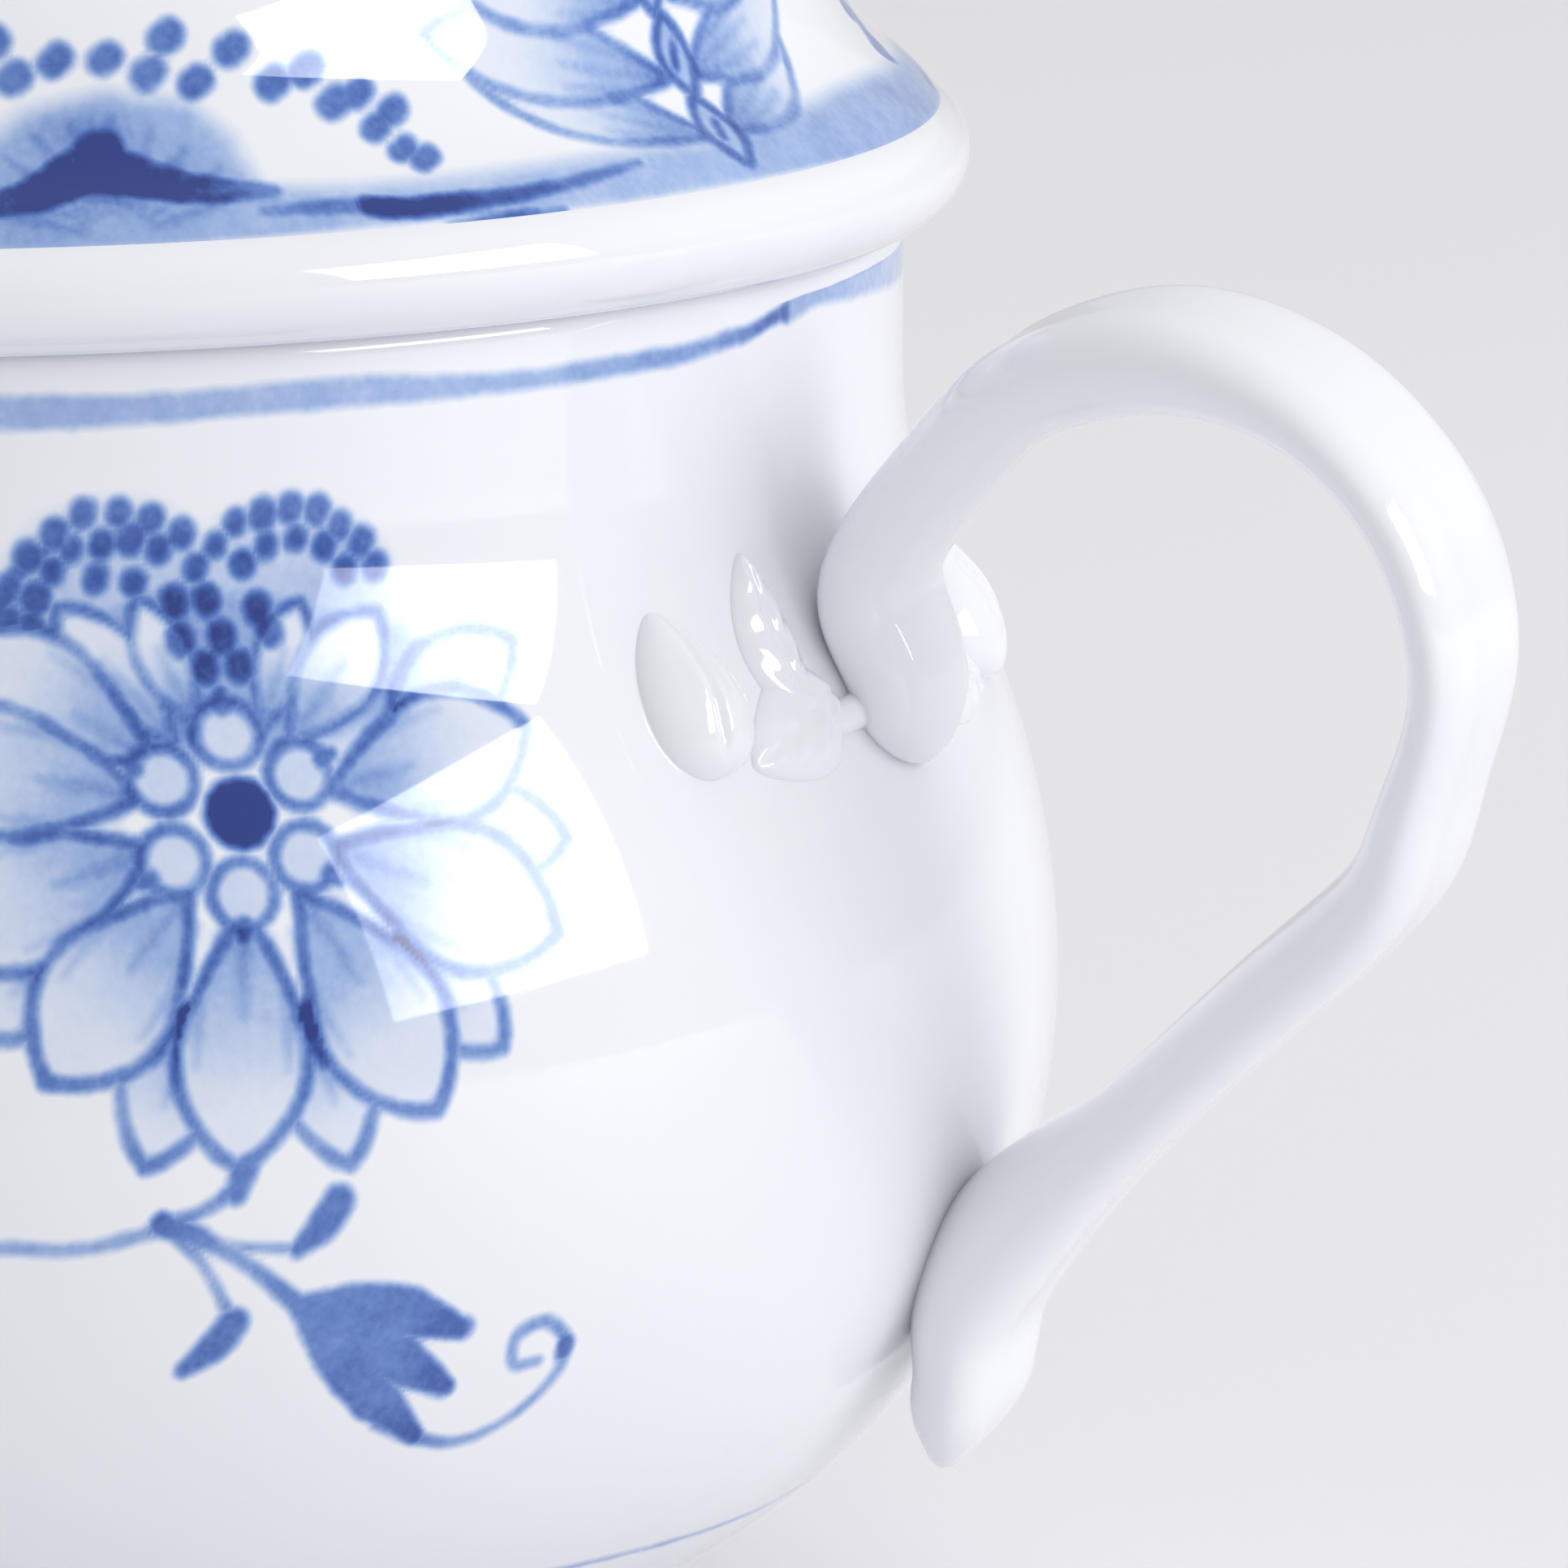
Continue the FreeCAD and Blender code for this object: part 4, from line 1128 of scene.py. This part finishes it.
def make_rose(base):
    """Rosebud: a wound heart that narrows to the tip and four wrapped petals whose lips roll outwards."""
    height = TIP - base
    turns = np.linspace(0, 2 * math.pi, 96, endpoint=False)
    rings = []
    for share in np.linspace(0.02, 1, 80):
        swell = np.sin(np.pi * min(0.12 + 0.62 * share, 0.5))
        radius = 4.9 * swell * (1 - 0.72 * smooth((share - 0.5) / 0.5))
        fold = (turns / (2 * math.pi) * 3 + 1.1 * share) % 1
        r = np.maximum(radius * (1 - 0.20 * fold ** 3 * smooth((share - 0.4) * 3)), 0.2)
        z = np.full(len(turns), base + height * share)
        rings.append(np.column_stack((r * np.cos(turns), r * np.sin(turns), z)))
    points, faces = tube(np.array(rings))
    pieces = [new_object("rose_heart", points, faces, "cover", "finial_bud")]
    for number in range(4):
        outer = number % 2
        top = 0.80 - 0.16 * outer
        u, v = np.meshgrid(np.linspace(0, 1, 60), np.linspace(-1, 1, 80), indexing="ij")
        edge = top * (1 - 0.42 * np.abs(v) ** 2.2)
        share = 0.05 + (edge - 0.05) * u
        lip = smooth((u - 0.72) / 0.28) * (1 - 0.6 * np.abs(v) ** 2)
        radius = rose_radius(share, 5.15 + 0.5 * outer) + 0.35 * v + 0.75 * lip
        thin = 0.95 * (1 - 0.5 * lip) * (1 - 0.5 * np.abs(v) ** 4)
        turn = math.radians(90 * number + 20) + v * math.radians(62)
        ribs = 0.06 * np.cos(22 * v) * smooth(u * 2) * (1 - lip)
        shells = [np.stack((r * np.cos(turn), r * np.sin(turn), base + height * share - 0.5 * lip ** 2), -1)
                  for r in (radius + ribs, np.maximum(radius - thin, 0.4))]
        points, faces = slab(*shells)
        place = number + 1
        pieces.append(new_object(f"rose_petal_{place}", points, faces, "cover", f"finial_petal_{place}"))
    return pieces


def make_stalk(base):
    """Short stalk with five sepals under the bud."""
    turns = np.linspace(0, 2 * math.pi, 80, endpoint=False)
    rings = []
    low = CROWN - 0.8
    for share in np.linspace(0, 1, 40):
        radius = blend([(0, 6.6), (0.16, 6.1), (0.34, 3.9), (0.55, 3.1), (0.8, 3.9), (1, 5.0)], share)
        ribs = 0.28 * np.cos(5 * turns) * smooth((share - 0.35) * 2)
        z = low + (base + 0.6 - low) * share
        r = radius + ribs
        rings.append(np.column_stack((r * np.cos(turns), r * np.sin(turns), np.full(80, z))))
    points, faces = tube(np.array(rings))
    return new_object("rose_stalk", points, faces, "cover", "finial_stalk")


def make_lid_leaves():
    """Three veined leaves spread on the crown, their tips lifted a little."""
    reach = lid_surface.length[-1]
    pieces = []
    for number in range(3):
        u, v = np.meshgrid(np.linspace(0, 1, 70), np.linspace(-1, 1, 50), indexing="ij")
        teeth = 1 - 0.05 * np.abs(np.sin(9 * np.pi * u)) * smooth(u * 4)
        half = 3.7 * np.sin(np.pi * np.clip(u, 0.02, 0.985) ** 0.85) ** 0.7 * teeth
        rib = groove(v, 0, 0.07) * (1 - u) * 0.35
        side = 0.12 * np.cos(2 * np.pi * 6 * (u - 0.25 * np.abs(v))) * (1 - groove(v, 0, 0.12))
        swell = np.sin(np.pi * np.clip(u, 0.02, 0.98) ** 0.85) ** 0.45
        lift = 1.05 * dome(v, 0.7) * swell * (0.8 + side) + rib
        away = 2.6 + 13.6 * u
        t = reach - away
        radius = np.maximum(lid_surface.at(t)[0], 1.0)
        turn = math.radians(120 * number - 36) + v * half / radius
        curl = 0.5 * smooth((u - 0.75) / 0.25)
        points, faces = slab(lid_surface.place(turn, t, lift + curl), lid_surface.place(turn, t, curl - 0.4))
        place = number + 1
        pieces.append(new_object(f"crown_leaf_{place}", points, faces, "cover", f"finial_leaf_{place}"))
    return pieces


def make_knob(material):
    """The knob: stalk, rosebud and leaves on the crown."""
    base = CROWN + 4.6 * 0.95
    for piece in [make_stalk(base), *make_rose(base), *make_lid_leaves()]:
        piece.data.materials.append(material)


# ---------------------------------------------------------------- stage

TARGET = Vector((31.57, 14.25, 32.99)) * MM


def direction(azimuth, height):
    """Unit vector from two angles in degrees."""
    a, e = math.radians(azimuth), math.radians(height)
    return Vector((math.cos(a) * math.cos(e), math.sin(a) * math.cos(e), math.sin(e)))


def plain_material(name, color, rough):
    """Matt paper with faint clouds, for the floor."""
    nodes = Nodes(name)
    nodes.place = nodes.add("ShaderNodeTexCoord").outputs["Object"]
    shade = nodes.ramp(nodes.noise(3, 2.0), [(0.3, tuple(c * 0.985 for c in color)), (0.7, color)])
    nodes.tree.links.new(shade, nodes.shader.inputs["Base Color"])
    nodes.shader.inputs["Roughness"].default_value = rough
    nodes.shader.inputs["Specular IOR Level"].default_value = 0.2
    return nodes.material


def make_floor():
    """Pale sweep: a wide floor that curves up a little, far off on every side."""
    rings = [(0, 0), (0.4, 0), (1, 0), (2.5, 0), (6, 0)]
    rings += [(6 + 2 * math.sin(a), 2 - 2 * math.cos(a)) for a in np.radians(range(10, 71, 10))]
    columns_round = 96
    turns = np.linspace(0, 2 * math.pi, columns_round, endpoint=False)
    points = [(0, 0, 0)]
    for r, z in rings[1:]:
        points += [(r * math.cos(a), r * math.sin(a), z) for a in turns]
    faces = [(0, 1 + k, 1 + (k + 1) % columns_round) for k in range(columns_round)]
    faces += [face[::-1] for face in grid_faces(len(rings) - 1, columns_round, 1, True)]
    mesh = bpy.data.meshes.new("floor")
    mesh.from_pydata(points, [], faces)
    mesh.polygons.foreach_set("use_smooth", np.ones(len(mesh.polygons), bool))
    floor = bpy.data.objects.new("floor", mesh)
    bpy.context.scene.collection.objects.link(floor)
    mesh.materials.append(plain_material("floor_paper", (0.90, 0.893, 0.915), 0.6))


def make_panel(name, corners, centre, distance, strength):
    """Softbox that only shows in the glaze."""
    points = [centre + direction(*corner) * distance for corner in corners]
    mesh = bpy.data.meshes.new(name)
    mesh.from_pydata(points, [], [tuple(range(len(points)))])
    panel = bpy.data.objects.new(name, mesh)
    bpy.context.scene.collection.objects.link(panel)
    material = bpy.data.materials.new(name)
    material.use_nodes = True
    tree = material.node_tree
    glow = tree.nodes.new("ShaderNodeEmission")
    place = tree.nodes.new("ShaderNodeTexCoord")
    split = tree.nodes.new("ShaderNodeSeparateXYZ")
    falloff = tree.nodes.new("ShaderNodeMapRange")
    falloff.inputs["From Min"].default_value = -0.17
    falloff.inputs["From Max"].default_value = 0.02
    falloff.inputs["To Min"].default_value = strength * 0.45
    falloff.inputs["To Max"].default_value = strength
    tree.links.new(place.outputs["Object"], split.inputs[0])
    tree.links.new(split.outputs["Y"], falloff.inputs["Value"])
    tree.links.new(falloff.outputs["Result"], glow.inputs["Strength"])
    glow.inputs["Color"].default_value = (0.98, 0.985, 1.0, 1)
    tree.links.new(glow.outputs[0], tree.nodes["Material Output"].inputs["Surface"])
    mesh.materials.append(material)
    panel.visible_camera = False
    panel.visible_diffuse = False
    panel.visible_shadow = False


def make_light(name, azimuth, height, distance, size, power, color):
    """Round area light aimed at the bowl. The glaze doesn't mirror it."""
    data = bpy.data.lights.new(name, "AREA")
    data.shape = "DISK"
    data.size = size
    data.energy = power
    data.color = color
    light = bpy.data.objects.new(name, data)
    light.location = Vector((0, 0, 0.04)) + direction(azimuth, height) * distance
    light.rotation_euler = (-direction(azimuth, height)).to_track_quat("-Z", "Y").to_euler()
    light.visible_glossy = False
    bpy.context.scene.collection.objects.link(light)


def make_stage():
    """Floor, softbox, two fill lights, pale world and the camera."""
    scene = bpy.context.scene
    make_floor()
    corners = [(-12, 5.5), (18, 6.5), (20, 33), (-14.5, 29)]
    make_panel("softbox", corners, Vector((34, -22, 43)) * MM, 0.75, 12)
    make_light("side_light", 10, 22, 0.9, 0.7, 3.3, (1, 0.995, 1))
    make_light("top_light", 60, 72, 1.1, 1.1, 1.5, (0.97, 0.98, 1))
    world = bpy.data.worlds.new("studio")
    world.use_nodes = True
    world.node_tree.nodes["Background"].inputs["Color"].default_value = (0.992, 0.99, 1.0, 1)
    world.node_tree.nodes["Background"].inputs["Strength"].default_value = 0.68
    scene.world = world
    scene.view_settings.view_transform = "Standard"
    data = bpy.data.cameras.new("view")
    data.lens = 427.8
    data.sensor_width = 36
    data.clip_start = 0.01
    camera = bpy.data.objects.new("view", data)
    camera.location = Vector((315.4, -614.4, 152.1)) * MM
    camera.rotation_euler = (TARGET - camera.location).to_track_quat("-Z", "Y").to_euler()
    scene.collection.objects.link(camera)
    scene.camera = camera


white = white_glaze()
make_bowl(painted_glaze("painted_bowl_glaze", True))
make_lid(painted_glaze("painted_lid_glaze", False))
for side, side_name in ((0, "right"), (180, "left")):
    make_handle(f"strap_{side_name}", side, white)
    for mirror, face_name in ((1, "front"), (-1, "back")):
        make_sprig(f"{side_name}_{face_name}", side, mirror if side == 0 else -mirror, white)
make_knob(white)
make_stage()
